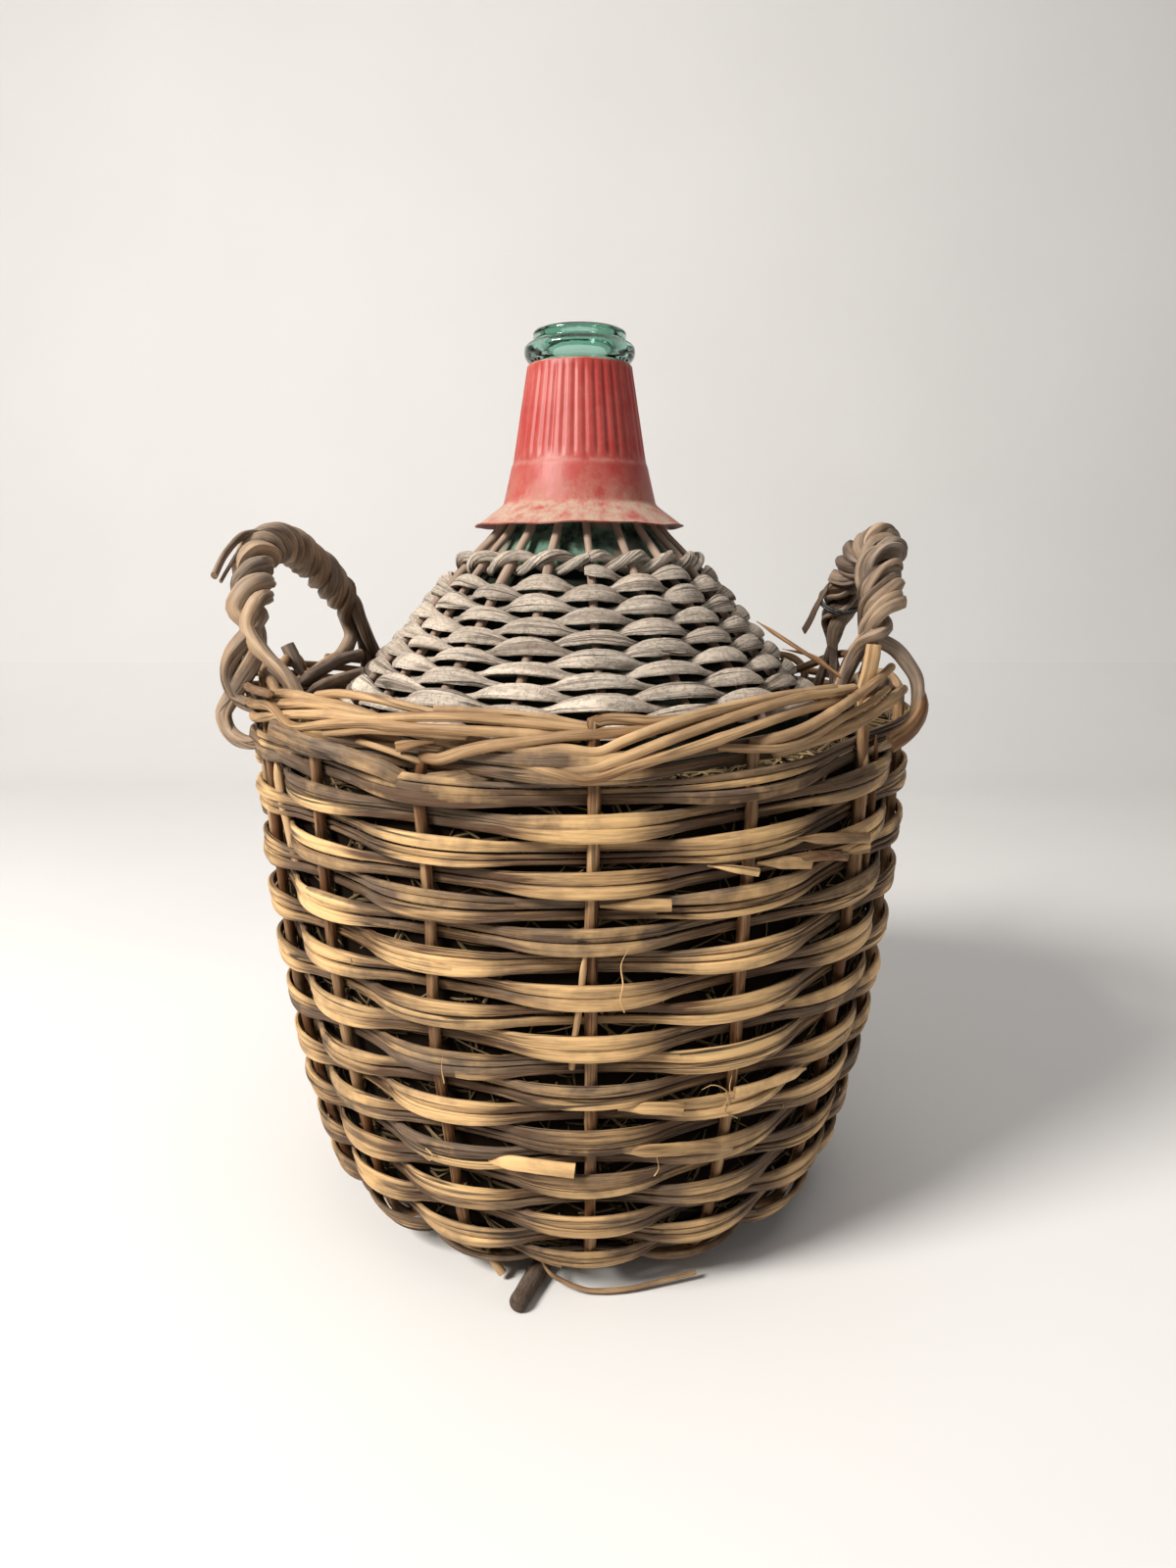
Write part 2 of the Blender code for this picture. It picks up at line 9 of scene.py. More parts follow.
import bpy
import numpy as np
from bpy.props import FloatProperty, FloatVectorProperty, IntProperty, PointerProperty
from bpy.types import Operator, Panel, PropertyGroup
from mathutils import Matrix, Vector


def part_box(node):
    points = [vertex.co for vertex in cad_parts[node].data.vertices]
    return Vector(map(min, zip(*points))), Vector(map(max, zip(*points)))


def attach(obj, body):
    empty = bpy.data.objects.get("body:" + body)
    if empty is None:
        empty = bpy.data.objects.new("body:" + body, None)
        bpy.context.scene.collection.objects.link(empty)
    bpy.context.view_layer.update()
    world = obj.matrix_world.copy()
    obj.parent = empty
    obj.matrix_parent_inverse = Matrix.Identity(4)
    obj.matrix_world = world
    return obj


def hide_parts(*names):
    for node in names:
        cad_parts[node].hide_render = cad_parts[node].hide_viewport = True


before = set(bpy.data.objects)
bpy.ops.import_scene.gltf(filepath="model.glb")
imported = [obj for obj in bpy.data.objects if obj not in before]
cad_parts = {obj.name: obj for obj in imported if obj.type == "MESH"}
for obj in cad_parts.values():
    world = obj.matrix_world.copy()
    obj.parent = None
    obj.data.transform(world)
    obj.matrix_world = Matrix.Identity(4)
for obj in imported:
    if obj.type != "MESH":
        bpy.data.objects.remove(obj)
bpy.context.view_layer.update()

bl_info = {
    "name": "Wicker-covered bottle",
    "version": (1, 0, 0),
    "blender": (4, 5, 0),
    "location": "3D View > Sidebar > Wicker bottle",
    "description": "Models a demijohn with its willow cover, neck collar and splint basket",
    "category": "Add Mesh",
}

TAU = 2 * math.pi

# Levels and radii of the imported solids
glass_low, glass_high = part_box("glass_bottle")
collar_low, collar_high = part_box("neck_collar")
straw_low, straw_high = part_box("straw_packing")
body_radius = glass_high.x
foot_level = glass_low.z
lip_top_level = glass_high.z

# Glass bottle
body_height = 0.3330
neck_height = 0.1047
neck_radius = 0.0268
neck_root_radius = 0.0520
neck_bore_radius = 0.0190
glass_wall = 0.0040
punt_height = 0.0120
ring_radius = 0.0306
ring_height = 0.0108
lip_radius = 0.0257
lip_height = 0.0065
neck_level = foot_level + body_height
neck_top_level = neck_level + neck_height
body_shares = (
    (0.576, 0.000), (0.732, 0.0135), (0.841, 0.0465), (0.915, 0.102), (0.966, 0.192), (0.994, 0.312),
    (1.000, 0.447), (0.994, 0.5585), (0.963, 0.658), (0.895, 0.736), (0.780, 0.793), (0.641, 0.857),
    (0.525, 0.919), (0.437, 0.9625),
)
neck_shares = ((1.0, 0.0), (0.651, 0.109), (0.399, 0.238), (0.225, 0.386), (0.120, 0.554), (0.0, 1.0))

# Neck collar
collar_top_radius = 0.0290
collar_sleeve_radius = 0.0374
collar_ledge_radius = 0.0390
collar_skirt_radius = 0.0432
collar_mouth_radius = 0.0278
collar_sleeve_level = collar_low.z + 0.0349
collar_wall = 0.0018
points_per_rib = 6

# Shoulder cover
cover_stakes = 19
cover_rounds = (8, 6)
cover_twist_drop = 0.0110
cover_weave_drop = 0.0062
cover_pitch = 0.0068
cover_reach = 0.0071
cover_foot_tuck = 0.0030
cover_tip_length = 0.0255
cover_tip_lean = 0.0030
cover_gap = 0.0002

# Basket
stake_degrees = (
    1.8, 25.0, 48.5, 73.0, 97.6, 122.2, 149.9, 177.6, 205.3, 233.0, 254.7, 276.3, 298.0, 316.5, 337.2,
)
stake_count = len(stake_degrees)
side_rounds = (6, 6, 5, 5)
base_level = 0.0154
wall_height = straw_high.z + 0.0055 - base_level
belly_radius = 0.1786
wall_foot_height = 0.0026
wall_shares = (
    (0.638, 0.000), (0.742, 0.004), (0.797, 0.027), (0.836, 0.077), (0.874, 0.170), (0.921, 0.328),
    (0.965, 0.521), (0.994, 0.729), (1.010, 1.000),
)
weave_gap = 0.0003
top_rows_share = 0.91
spoke_start_radius = 0.0300
rim_rise = 0.0140
rim_rise_start_share = 0.40
border_room = 0.0145
border_step = 0.0032
rod_step = 0.0060
border_level = base_level + wall_height + border_room

# The way of a stake's end round the rim, as (stakes passed, rods outwards, steps up), and the ends that go
# another way, each by its stake's index
border_route = (
    (0.0, 0.0, -1.6), (0.06, -0.05, 0.8), (0.2, -0.3, 2.2), (0.5, -0.72, 2.4), (1.0, -1.08, -0.4),
    (1.5, -0.10, -3.6), (2.0, 1.0, -3.3), (2.5, 1.0, -2.4), (3.0, 1.0, -1.2), (3.5, 1.0, -0.1),
    (4.0, 1.0, 0.9), (4.5, 1.0, 1.8),
)
border_tails = {
    9: ((3.85, 0.9, -1.9), (4.29, 0.9, 0.0), (4.66, 0.9, 1.3), (5.03, 0.9, 1.6), (5.31, 0.7, 1.9),
        (5.63, 0.3, 1.9), (5.92, -0.3, 1.3)),
    10: ((2.72, 0.5, -0.6), (3.25, 0.5, 1.1), (3.64, 0.6, 1.8), (4.03, 0.7, 3.1), (4.31, 0.6, 3.6),
         (4.63, 0.3, 3.3), (4.97, -0.1, 2.4)),
    11: ((1.44, 0.1, 0.1), (1.95, 0.0, 1.7), (2.39, -0.1, 2.1), (2.77, -0.4, 1.4), (3.18, -0.6, 0.5),
         (3.63, 0.1, -0.4), (3.84, 0.7, 0.0), (4.02, 0.8, -0.4), (4.16, 0.7, 0.9), (4.33, 0.5, 2.2),
         (4.56, 0.3, 3.5), (4.82, 0.1, 4.4), (5.09, 0.0, 4.9), (5.40, 0.0, 4.8), (5.63, 0.0, 4.5)),
    12: ((0.33, -0.3, 1.2), (1.03, -0.4, 2.3), (1.44, -0.6, 2.0), (1.98, -0.9, 0.1), (2.45, -0.3, -1.5),
         (2.84, 0.7, -2.4), (3.00, 0.9, -2.3), (3.16, 0.9, -1.2), (3.32, 0.8, 0.1), (3.55, 0.7, 1.7),
         (3.80, 0.5, 3.0), (4.08, 0.3, 4.0), (4.38, 0.2, 4.4), (4.82, 0.2, 3.9)),
    13: ((-0.01, 0.0, -0.7), (0.24, -0.5, -0.9), (0.97, -0.9, -1.6), (1.57, -0.1, -2.1), (1.79, 0.8, -3.0),
         (1.97, 0.9, -3.9), (2.21, 0.9, -2.3), (2.44, 0.9, -1.0), (2.67, 0.8, 0.2), (2.93, 0.6, 1.4),
         (3.22, 0.4, 2.4), (3.47, 0.2, 2.7), (3.74, 0.0, 2.5)),
    14: ((0.03, 0.0, -2.5), (0.14, 0.3, -2.5), (0.30, 0.4, -1.0), (0.47, 0.4, 0.2), (0.68, 0.4, 1.1),
         (0.89, 0.3, 1.7), (1.11, 0.2, 2.0), (1.34, 0.0, 2.2), (1.59, -0.4, 2.5)),
    0: ((0.0, 0.0, 3.2), (0.09, -0.1, 3.7), (0.23, -0.2, 3.5), (0.34, -0.3, 3.2), (0.59, -0.4, 3.2),
        (0.78, -0.6, 3.6)),
    3: ((0.0, -0.1, -1.6), (0.2, -0.3, -0.4), (0.5, -0.72, 0.4), (1.0, -1.08, -0.8), *border_route[5:]),
    1: ((-0.01, 0.0, -1.5), (0.07, 0.6, -0.6), (0.17, 0.8, -0.3), (0.34, 0.9, 0.4), (0.59, 0.9, 2.0),
        (0.86, 0.8, 3.5), (1.07, 0.7, 4.5), (1.27, 0.6, 5.5)),
}

# Rods laid in beside the border's: each a route as above, counted from the front stake, and its radius
border_fillers = (
    (0.0020, ((0.78, -0.3, -1.1), (0.94, 0.4, -1.5), (1.13, 0.9, -1.8), (1.34, 1.0, -1.2), (1.59, 1.0, 0.4),
              (1.90, 0.9, 1.4), (2.20, 0.7, 2.5))),
    (0.0032, ((1.15, 0.2, -2.6), (1.50, 0.7, -1.7), (1.69, 0.8, -1.3), (1.93, 0.8, -0.5), (2.22, 0.8, 0.5),
              (2.55, 0.7, 1.0))),
    (0.0022, ((1.79, 0.5, -0.2), (2.03, 0.9, -0.2), (2.31, 0.9, 0.4), (2.57, 0.8, 1.0))),
    (0.0019, ((-1.88, 0.6, -2.1), (-1.57, 0.8, -0.7), (-1.35, 0.8, 0.3), (-0.98, 0.5, 0.8),
              (-0.71, 0.0, 0.8))),
    (0.0023, ((-2.00, -0.6, 2.9), (-1.80, -0.5, 3.8), (-1.64, -0.5, 4.2), (-1.36, -0.5, 4.3),
              (-1.11, -0.5, 3.9), (-0.89, -0.6, 3.4))),
    (0.0020, ((-0.90, -0.6, 3.9), (-0.61, -0.6, 4.2), (-0.38, -0.6, 4.0), (-0.22, -0.6, 3.6),
              (-0.04, -0.5, 2.7))),
)

# Handles: the middle line of each from its front leg to its back one, and the ways that its three strands
# take at the front and at the back, as (degrees, radius, height above the border)
handle_arches = {
    "right": ((49.0, 0.1765, 0.0300), (51.0, 0.1765, 0.0400), (55.0, 0.1780, 0.0572), (62.0, 0.1700, 0.0749),
              (72.0, 0.1680, 0.0857), (82.0, 0.1660, 0.0857), (92.0, 0.1650, 0.0832),
              (100.0, 0.1660, 0.0712),
              (106.0, 0.1680, 0.0532), (109.0, 0.1700, 0.0332)),
    "left": ((-68.5, 0.1830, 0.0290), (-69.0, 0.1825, 0.0380), (-70.0, 0.1815, 0.0480),
             (-71.5, 0.1815, 0.0570), (-74.0, 0.1800, 0.0670), (-79.0, 0.1780, 0.0800),
             (-92.0, 0.1740, 0.0886), (-106.0, 0.1720, 0.0776), (-116.0, 0.1710, 0.0559),
             (-121.0, 0.1710, 0.0362)),
}
handle_heads = {
    "right": (
        ((57.0, 0.1800, 0.0448), (56.1, 0.1850, 0.0381), (57.0, 0.1910, 0.0300), (58.3, 0.1940, 0.0214),
         (58.4, 0.1950, 0.0118), (57.5, 0.1940, 0.0024), (56.0, 0.1900, -0.0060), (54.0, 0.1830, -0.0110),
         (52.0, 0.1760, -0.0140)),
        ((54.8, 0.1710, 0.0459), (52.0, 0.1680, 0.0343), (50.5, 0.1660, 0.0236), (50.5, 0.1640, 0.0120),
         (50.5, 0.1640, 0.0000)),
        ((56.7, 0.1750, 0.0433), (55.6, 0.1710, 0.0314), (54.3, 0.1680, 0.0195), (54.8, 0.1660, 0.0095),
         (54.8, 0.1660, -0.0030)),
    ),
    "left": (
        ((-68.0, 0.1832, 0.0231), (-70.0, 0.1906, 0.0151), (-71.0, 0.1966, 0.0072), (-71.0, 0.1985, -0.0010),
         (-70.0, 0.1970, -0.0089), (-68.0, 0.1928, -0.0134), (-66.0, 0.1872, -0.0149),
         (-63.0, 0.1800, -0.0130)),
        ((-63.1, 0.1700, 0.0250), (-60.1, 0.1670, 0.0195), (-57.6, 0.1660, 0.0132), (-57.5, 0.1650, 0.0052)),
        ((-71.0, 0.1970, 0.0270), (-71.0, 0.1990, 0.0207), (-70.0, 0.1970, 0.0123), (-69.0, 0.1900, 0.0059),
         (-66.0, 0.1830, 0.0028)),
    ),
}
handle_tails = {
    "right": (
        ((109.5, 0.1745, 0.0200), (110.0, 0.1745, 0.0000), (110.0, 0.1745, -0.0150)),
        ((108.0, 0.1700, 0.0200), (107.0, 0.1700, 0.0000), (106.5, 0.1700, -0.0150)),
        ((111.0, 0.1690, 0.0200), (112.0, 0.1690, 0.0000), (112.5, 0.1690, -0.0150)),
    ),
    "left": (
        ((-121.0, 0.1720, 0.0290), (-117.0, 0.1740, 0.0200), (-112.0, 0.1760, 0.0120),
         (-107.0, 0.1770, 0.0070)),
        ((-123.5, 0.1740, 0.0220), (-124.0, 0.1740, 0.0000), (-124.0, 0.1740, -0.0150)),
        ((-124.0, 0.1690, 0.0220), (-127.0, 0.1690, 0.0120), (-130.0, 0.1700, 0.0000),
         (-131.0, 0.1700, -0.0120)),
    ),
}

# The rods and split ends that make up one strand of each handle: their radius, and how far they lie from
# the strand's middle. Then the turns of the strands round the handle, and how much the rods thin at their
# ends, over which length.
handle_fibres = {
    "right": ((0.0038, 0.0012), (0.0026, 0.0031), (0.0019, 0.0036)),
    "left": ((0.0049, 0.0003), (0.0017, 0.0034), (0.0014, 0.0036)),
}
handle_turns = {"right": 5.3, "left": 6.0}
handle_thinning = {"right": 0.48, "left": 0.25}
handle_end_length = 0.07

# Loose ends: what each is made of, its width and thickness in millimetres, its shade and greyness, and its
# way as (degrees, radius, height)
loose_ends = (
    # Cut ends of splints over the wall
    ("splint", 7.8, 3, 0.95, 0, ((-15.2, 0.1654, 0.0851), (-10.5, 0.1690, 0.0881),
     (-5.8, 0.1702, 0.0880), (-0.8, 0.1700, 0.0864))),
    ("splint", 6.2, 2.8, 0.85, 0.1, ((6, 0.1691, 0.1169), (9.8, 0.1718, 0.1180), (13.5, 0.1734, 0.1176),
     (16, 0.1736, 0.1162))),
    ("splint", 6, 2.6, 0.7, 0.3, ((6.5, 0.1661, 0.0935), (12.5, 0.1690, 0.0940), (19.8, 0.1697, 0.0924),
     (26, 0.1683, 0.0879))),
    ("splint", 5.8, 2.6, 0.8, 0.1, ((42, 0.1700, 0.1164), (35, 0.1738, 0.1198), (29, 0.1744, 0.1200),
     (24.8, 0.1742, 0.1200))),
    ("splint", 3.4, 2.8, 0.95, 0, ((18, 0.1808, 0.2353), (21, 0.1845, 0.2340), (25, 0.1864, 0.2313))),
    ("splint", 6, 2.6, 0.6, 0.2, ((26, 0.1807, 0.2335), (30.2, 0.1832, 0.2327), (35.2, 0.1841, 0.2305))),
    ("splint", 6, 2.6, 0.45, 0.5, ((2.8, 0.1791, 0.2188), (7.8, 0.1820, 0.2196), (12.5, 0.1837, 0.2194))),
    ("splint", 4.2, 1.3, 1, 0, ((42.5, 0.1831, 0.2300), (45, 0.1854, 0.2309), (48.8, 0.1866, 0.2301))),
    # Strips of brown bark on the wall at the right
    ("bark_strip", 5, 3, 0.28, 0, ((32.5, 0.1826, 0.2426), (39, 0.1858, 0.2406), (48.2, 0.1864, 0.2353))),
    ("bark_strip", 4.4, 3, 0.22, 0.1, ((30, 0.1823, 0.2349), (35.5, 0.1845, 0.2333),
     (41.8, 0.1844, 0.2307))),
    ("bark_strip", 4.4, 2.8, 0.3, 0, ((34.8, 0.1838, 0.2358), (38.5, 0.1847, 0.2326),
     (43.5, 0.1841, 0.2286))),
    # Thin second stakes beside the wall's own
    ("rod", 3, 3, 0.6, 0, ((1, 0.1810, 0.2029), (0.5, 0.1802, 0.1900), (0.2, 0.1788, 0.1803),
     (-0.2, 0.1777, 0.1682), (-0.8, 0.1758, 0.1546), (-1.2, 0.1727, 0.1398))),
    ("rod", 3.8, 3.8, 0.5, 0.1, ((49, 0.1814, 0.2838), (48.8, 0.1818, 0.2610), (49.5, 0.1803, 0.2360),
     (50.5, 0.1782, 0.2074))),
    ("rod", 3.4, 3.4, 0.4, 0.2, ((52.8, 0.1814, 0.2833), (52.8, 0.1813, 0.2589), (53.5, 0.1797, 0.2334),
     (54, 0.1779, 0.2124))),
    ("rod", 3, 3, 0.45, 0.2, ((-68, 0.1811, 0.2663), (-65, 0.1810, 0.2522), (-64.2, 0.1794, 0.2261),
     (-63.2, 0.1776, 0.2052))),
    ("rod", 6, 5, 0.75, 0, ((-56.8, 0.1813, 0.2728), (-56, 0.1807, 0.2572), (-54.5, 0.1787, 0.2326),
     (-53.5, 0.1771, 0.2178))),
    # Fibres that have come off the splints
    ("fibre", 0.7, 0.7, 1, 0, ((-20.5, 0.1794, 0.1442), (-20.5, 0.1808, 0.1381), (-20.8, 0.1770, 0.1288))),
    ("fibre", 0.7, 0.7, 1, 0, ((6.5, 0.1852, 0.2009), (5.5, 0.1866, 0.1944), (5.8, 0.1861, 0.1852),
     (5.5, 0.1854, 0.1781), (6.2, 0.1823, 0.1707))),
    ("fibre", 0.7, 0.7, 0.5, 0, ((19, 0.1744, 0.1250), (20.2, 0.1785, 0.1288), (22.2, 0.1789, 0.1254),
     (23.5, 0.1773, 0.1183), (23.2, 0.1748, 0.1117), (26, 0.1722, 0.1049))),
    ("fibre", 0.7, 0.7, 0.4, 0, ((20.5, 0.1732, 0.1176), (21.2, 0.1782, 0.1236), (22.8, 0.1783, 0.1213),
     (22.5, 0.1764, 0.1155), (21, 0.1736, 0.1140))),
    ("fibre", 0.6, 0.6, 0.9, 0, ((23.8, 0.1762, 0.1300), (23, 0.1785, 0.1257), (24, 0.1766, 0.1201))),
    ("fibre", 0.6, 0.6, 0.6, 0, ((-27.8, 0.1680, 0.0832), (-25.2, 0.1703, 0.0822),
     (-24.5, 0.1711, 0.0864), (-26, 0.1699, 0.0877))),
    ("fibre", 0.6, 0.6, 0.9, 0, ((12.2, 0.1708, 0.0921), (12.5, 0.1716, 0.0864), (12, 0.1696, 0.0813))),
    # Splints that have slipped down off the border on the left, and ends that stick out between them
    ("splint", 8.2, 4.0, 0.42, 0.6, ((-9.8, 0.1760, 0.2779), (-17.1, 0.1780, 0.2738),
     (-23.3, 0.1820, 0.2712), (-27.4, 0.1865, 0.2768), (-34.0, 0.1885, 0.2817), (-41.1, 0.1895, 0.2848),
     (-50.6, 0.1895, 0.2884))),
    ("splint", 7.6, 3.6, 0.1, 0.7, ((-28.5, 0.1624, 0.2574), (-35, 0.1680, 0.2600), (-42.5, 0.1728, 0.2644),
     (-51, 0.1788, 0.2712), (-58, 0.1830, 0.2763), (-64, 0.1868, 0.2810))),
    ("rod", 3.0, 3.0, 0.4, 0.2, ((-36.6, 0.1800, 0.2878), (-29.0, 0.1830, 0.2858), (-24.0, 0.1840, 0.2829),
     (-21.9, 0.1810, 0.2803))),
    ("bark_strip", 4.6, 2.4, 0.0, 0.0, ((-20.0, 0.1825, 0.2898), (-22.4, 0.1858, 0.2890),
     (-25.0, 0.1862, 0.2872))),
    # Split and bent strip at the right handle
    ("bark_strip", 12.0, 6.5, 0.20, 0.0, ((58.9, 0.1925, 0.3090), (59.2, 0.1955, 0.3010),
     (58.4, 0.1960, 0.2930), (56.6, 0.1925, 0.2850), (54.6, 0.1860, 0.2790))),
    # Under the foot at the front: a strip on the floor and a stake's end
    ("rod", 2.6, 2.4, 0.5, 0.4, ((-9.0, 0.1330, 0.0130), (-6.5, 0.1397, 0.0100), (-4.0, 0.1399, 0.0060),
     (-0.3, 0.1429, 0.0040), (3.3, 0.1440, 0.0030), (9.7, 0.1443, 0.0030), (17.0, 0.1439, 0.0040),
     (24.5, 0.1452, 0.0050))),
    ("rod", 4.4, 4.4, 0.9, 0.0, ((-21.0, 0.1330, 0.0200), (-20.3, 0.1373, 0.0140), (-18.5, 0.1376, 0.0090),
     (-16.9, 0.1375, 0.0040))),
    # At the handles: peeled and grey stubs, a split end, a strip of bark and twigs
    ("rod", 7.4, 7.0, 1.0, 0.0, ((49.4, 0.1765, 0.2960), (49.4, 0.1775, 0.3040), (49.6, 0.1795, 0.3119),
     (49.8, 0.1810, 0.3213), (50.0, 0.1812, 0.3275))),
    ("handle", 5.6, 5.0, 0.5, 1.0, ((50, 0.1764, 0.3019), (50, 0.1756, 0.3075), (50, 0.1744, 0.3131))),
    ("handle", 7, 6, 0.5, 1, ((-63, 0.1688, 0.3016), (-64, 0.1718, 0.3085), (-65, 0.1746, 0.3134))),
    ("handle", 9, 8, 0.5, 1, ((-96, 0.1662, 0.2971), (-96, 0.1702, 0.3041), (-96, 0.1734, 0.3112),
     (-96, 0.1766, 0.3182))),
    ("handle", 8, 7, 0.2, 0.5, ((-88, 0.1664, 0.2949), (-97, 0.1590, 0.3022), (-104, 0.1546, 0.3072),
     (-112, 0.1508, 0.3094))),
    ("handle", 7, 6, 0.1, 0.4, ((-84, 0.1578, 0.2927), (-94, 0.1506, 0.2960), (-102, 0.1458, 0.2982),
     (-108, 0.1420, 0.2993))),
    ("handle", 5.0, 3.4, 0.6, 0.3, ((-87.0, 0.1740, 0.3735), (-83.0, 0.1760, 0.3805),
     (-78.5, 0.1845, 0.3800), (-75.0, 0.1930, 0.3705), (-72.0, 0.1990, 0.3590))),
    ("handle", 2.4, 1.8, 0.5, 0.5, ((-85.0, 0.1735, 0.3745), (-80.5, 0.1775, 0.3780),
     (-77.0, 0.1850, 0.3735), (-74.0, 0.1915, 0.3635), (-72.5, 0.1960, 0.3560))),
    ("bark", 5.0, 1.6, 0.9, 0.0, ((101.5, 0.1650, 0.3565), (103.5, 0.1575, 0.3535), (106.5, 0.1542, 0.3420),
     (110.0, 0.1545, 0.3310), (113.0, 0.1556, 0.3240))),
    ("rod", 2.0, 2.0, 0.2, 0.0, ((55.2, 0.1120, 0.3359), (51.5, 0.1400, 0.3234), (51.0, 0.1650, 0.3104))),
    ("rod", 1.6, 1.6, 0.2, 0.0, ((56.0, 0.1260, 0.3222), (52.2, 0.1500, 0.3189), (51.1, 0.1660, 0.3066))),
)

# Straw: from the middle of the wall to the straw, and the glass body to the bed's inner edge
straw_room = 0.0064
straw_inner_gap = 0.0130

# Base: the barked sticks, the strip woven over them, and the ring with a notch where the long stick passes
stick_degrees = 20.0
stick_radius = 0.0046
stick_spacing = 0.0240
stick_half_length = 0.1000
long_stick_extra = 0.0555
base_weave_start = 0.0560
base_weave_pitch = 0.0117
base_weave_half_width = 0.0052
base_weave_swing = 0.0045
foot_ring_width = 0.0090
foot_ring_depth = 0.0058
foot_ring_level = 0.0046
notch_degrees = 348.6
notch_reach = 0.085
notch_rise = 0.00915

# Camera, fitted to the photograph, whose picture is 1600 pixels high
camera_place = (0.0, -0.6114, 0.361)
camera_tilt_degrees = 78.5
picture_height = 1600
focal_pixels = 1063
shift_pixels = 8.5
film_height = 36.0


# Sizes and colours that a user would change


class BottleSizes(PropertyGroup):
    """Sizes of the bottle, its collar and its cover."""

    glass_sides: IntProperty(
        name="Glass sides", description="Facets round the turned glass", default=96, min=24, max=256
    )
    collar_ribs: IntProperty(
        name="Collar ribs", description="Upright ribs on the collar's sleeve", default=36, min=8, max=72
    )
    rib_depth: FloatProperty(
        name="Rib depth", description="Depth of the grooves between the ribs", default=0.0007, unit="LENGTH"
    )
    cover_strip_width: FloatProperty(
        name="Cover strip width", description="Width of the woven willow on the shoulder", default=0.0109,
        unit="LENGTH",
    )
    cover_strip_depth: FloatProperty(
        name="Cover strip depth", description="Thickness of the woven willow on the shoulder",
        default=0.0034, unit="LENGTH",
    )
    cover_rod_radius: FloatProperty(
        name="Cover rod radius", description="Radius of the cover's upright rods", default=0.0025,
        unit="LENGTH",
    )


class BasketSizes(PropertyGroup):
    """Sizes of the basket, its handles and its straw."""

    strip_width: FloatProperty(
        name="Strip width", description="Width of one splint of the side weave", default=0.0060,
        unit="LENGTH",
    )
    strip_depth: FloatProperty(
        name="Strip depth", description="Thickness of one splint of the side weave", default=0.0032,
        unit="LENGTH",
    )
    stake_radius: FloatProperty(
        name="Stake radius", description="Radius of the upright stakes", default=0.0028, unit="LENGTH"
    )
    border_radius: FloatProperty(
        name="Border rod radius", description="Radius of the rods laid round the rim", default=0.0026,
        unit="LENGTH",
    )
    strand_radius: FloatProperty(
        name="Handle strand radius", description="Radius of one strand of a handle", default=0.0050,
        unit="LENGTH",
    )
    strand_reach: FloatProperty(
        name="Handle strand reach", description="From the middle of a handle to the middle of a strand",
        default=0.0068, unit="LENGTH",
    )
    stalks: IntProperty(
        name="Straw stalks", description="Loose stalks in the packing", default=2200, min=0, max=6000
    )


class FinishColours(PropertyGroup):
    """Base colours of the finishes."""

    glass: FloatVectorProperty(
        name="Glass", description="Tint of the glass", default=(0.40, 0.70, 0.59), size=3, subtype="COLOR"
    )
    collar: FloatVectorProperty(
        name="Collar", description="Red of the moulded collar", default=(0.37, 0.026, 0.020), size=3,
        subtype="COLOR",
    )
    dust: FloatVectorProperty(
        name="Dust", description="Dust on everything that faces up", default=(0.46, 0.34, 0.25), size=3,
        subtype="COLOR",
    )
    splint_light: FloatVectorProperty(
        name="Splint, light", description="Fresh side of the split wood", default=(0.77, 0.485, 0.215),
        size=3, subtype="COLOR",
    )
    splint_dark: FloatVectorProperty(
        name="Splint, dark", description="Dark grain of the split wood", default=(0.080, 0.036, 0.013),
        size=3, subtype="COLOR",
    )
    splint_grey: FloatVectorProperty(
        name="Splint, weathered", description="Weathered side of the split wood",
        default=(0.15, 0.105, 0.070), size=3, subtype="COLOR",
    )
    cover_light: FloatVectorProperty(
        name="Cover, light", description="Worn crests of the cover's willow", default=(0.74, 0.63, 0.51),
        size=3, subtype="COLOR",
    )
    cover_dark: FloatVectorProperty(
        name="Cover, dark", description="Grain of the cover's willow", default=(0.18, 0.142, 0.112), size=3,
        subtype="COLOR",
    )
    cover_grey: FloatVectorProperty(
        name="Cover, weathered", description="Weathered parts of the cover's willow",
        default=(0.50, 0.44, 0.365), size=3, subtype="COLOR",
    )


class WickerBottle(PropertyGroup):
    """All that a user would change."""

    bottle: PointerProperty(type=BottleSizes)
    basket: PointerProperty(type=BasketSizes)
    colours: PointerProperty(type=FinishColours)


# Lines and outlines


def smooth(value):
    value = np.clip(value, 0.0, 1.0)
    return value * value * (3 - 2 * value)


def unit(vectors):
    return vectors / np.maximum(np.linalg.norm(vectors, axis=-1, keepdims=True), 1e-12)


def distances(line):
    """How far each point lies along the line."""
    return np.concatenate(([0.0], np.cumsum(np.linalg.norm(np.diff(line, axis=0), axis=1))))


def curve_through(points, steps=10):
    """A smooth line through the points, with that many steps from one to the next."""
    points = np.asarray(points, float)
    knots = np.concatenate((2 * points[:1] - points[1:2], points, 2 * points[-1:] - points[-2:-1]))
    t = np.arange(steps)[:, None] / steps
    line = []
    for a, b, c, d in zip(knots, knots[1:], knots[2:], knots[3:]):
        bend, twist = 2 * a - 5 * b + 4 * c - d, 3 * b - a - 3 * c + d
        line.append(0.5 * (2 * b + (c - a) * t + bend * t**2 + twist * t**3))
    return np.concatenate(line + [points[-1:]])


def even(line, spacing):
    """The same line with its points an even distance apart."""
    reach = distances(line)
    count = max(int(round(reach[-1] / spacing)), 2)
    wanted = np.linspace(0.0, reach[-1], count + 1)
    return np.stack([np.interp(wanted, reach, line[:, axis]) for axis in range(line.shape[1])], axis=1)


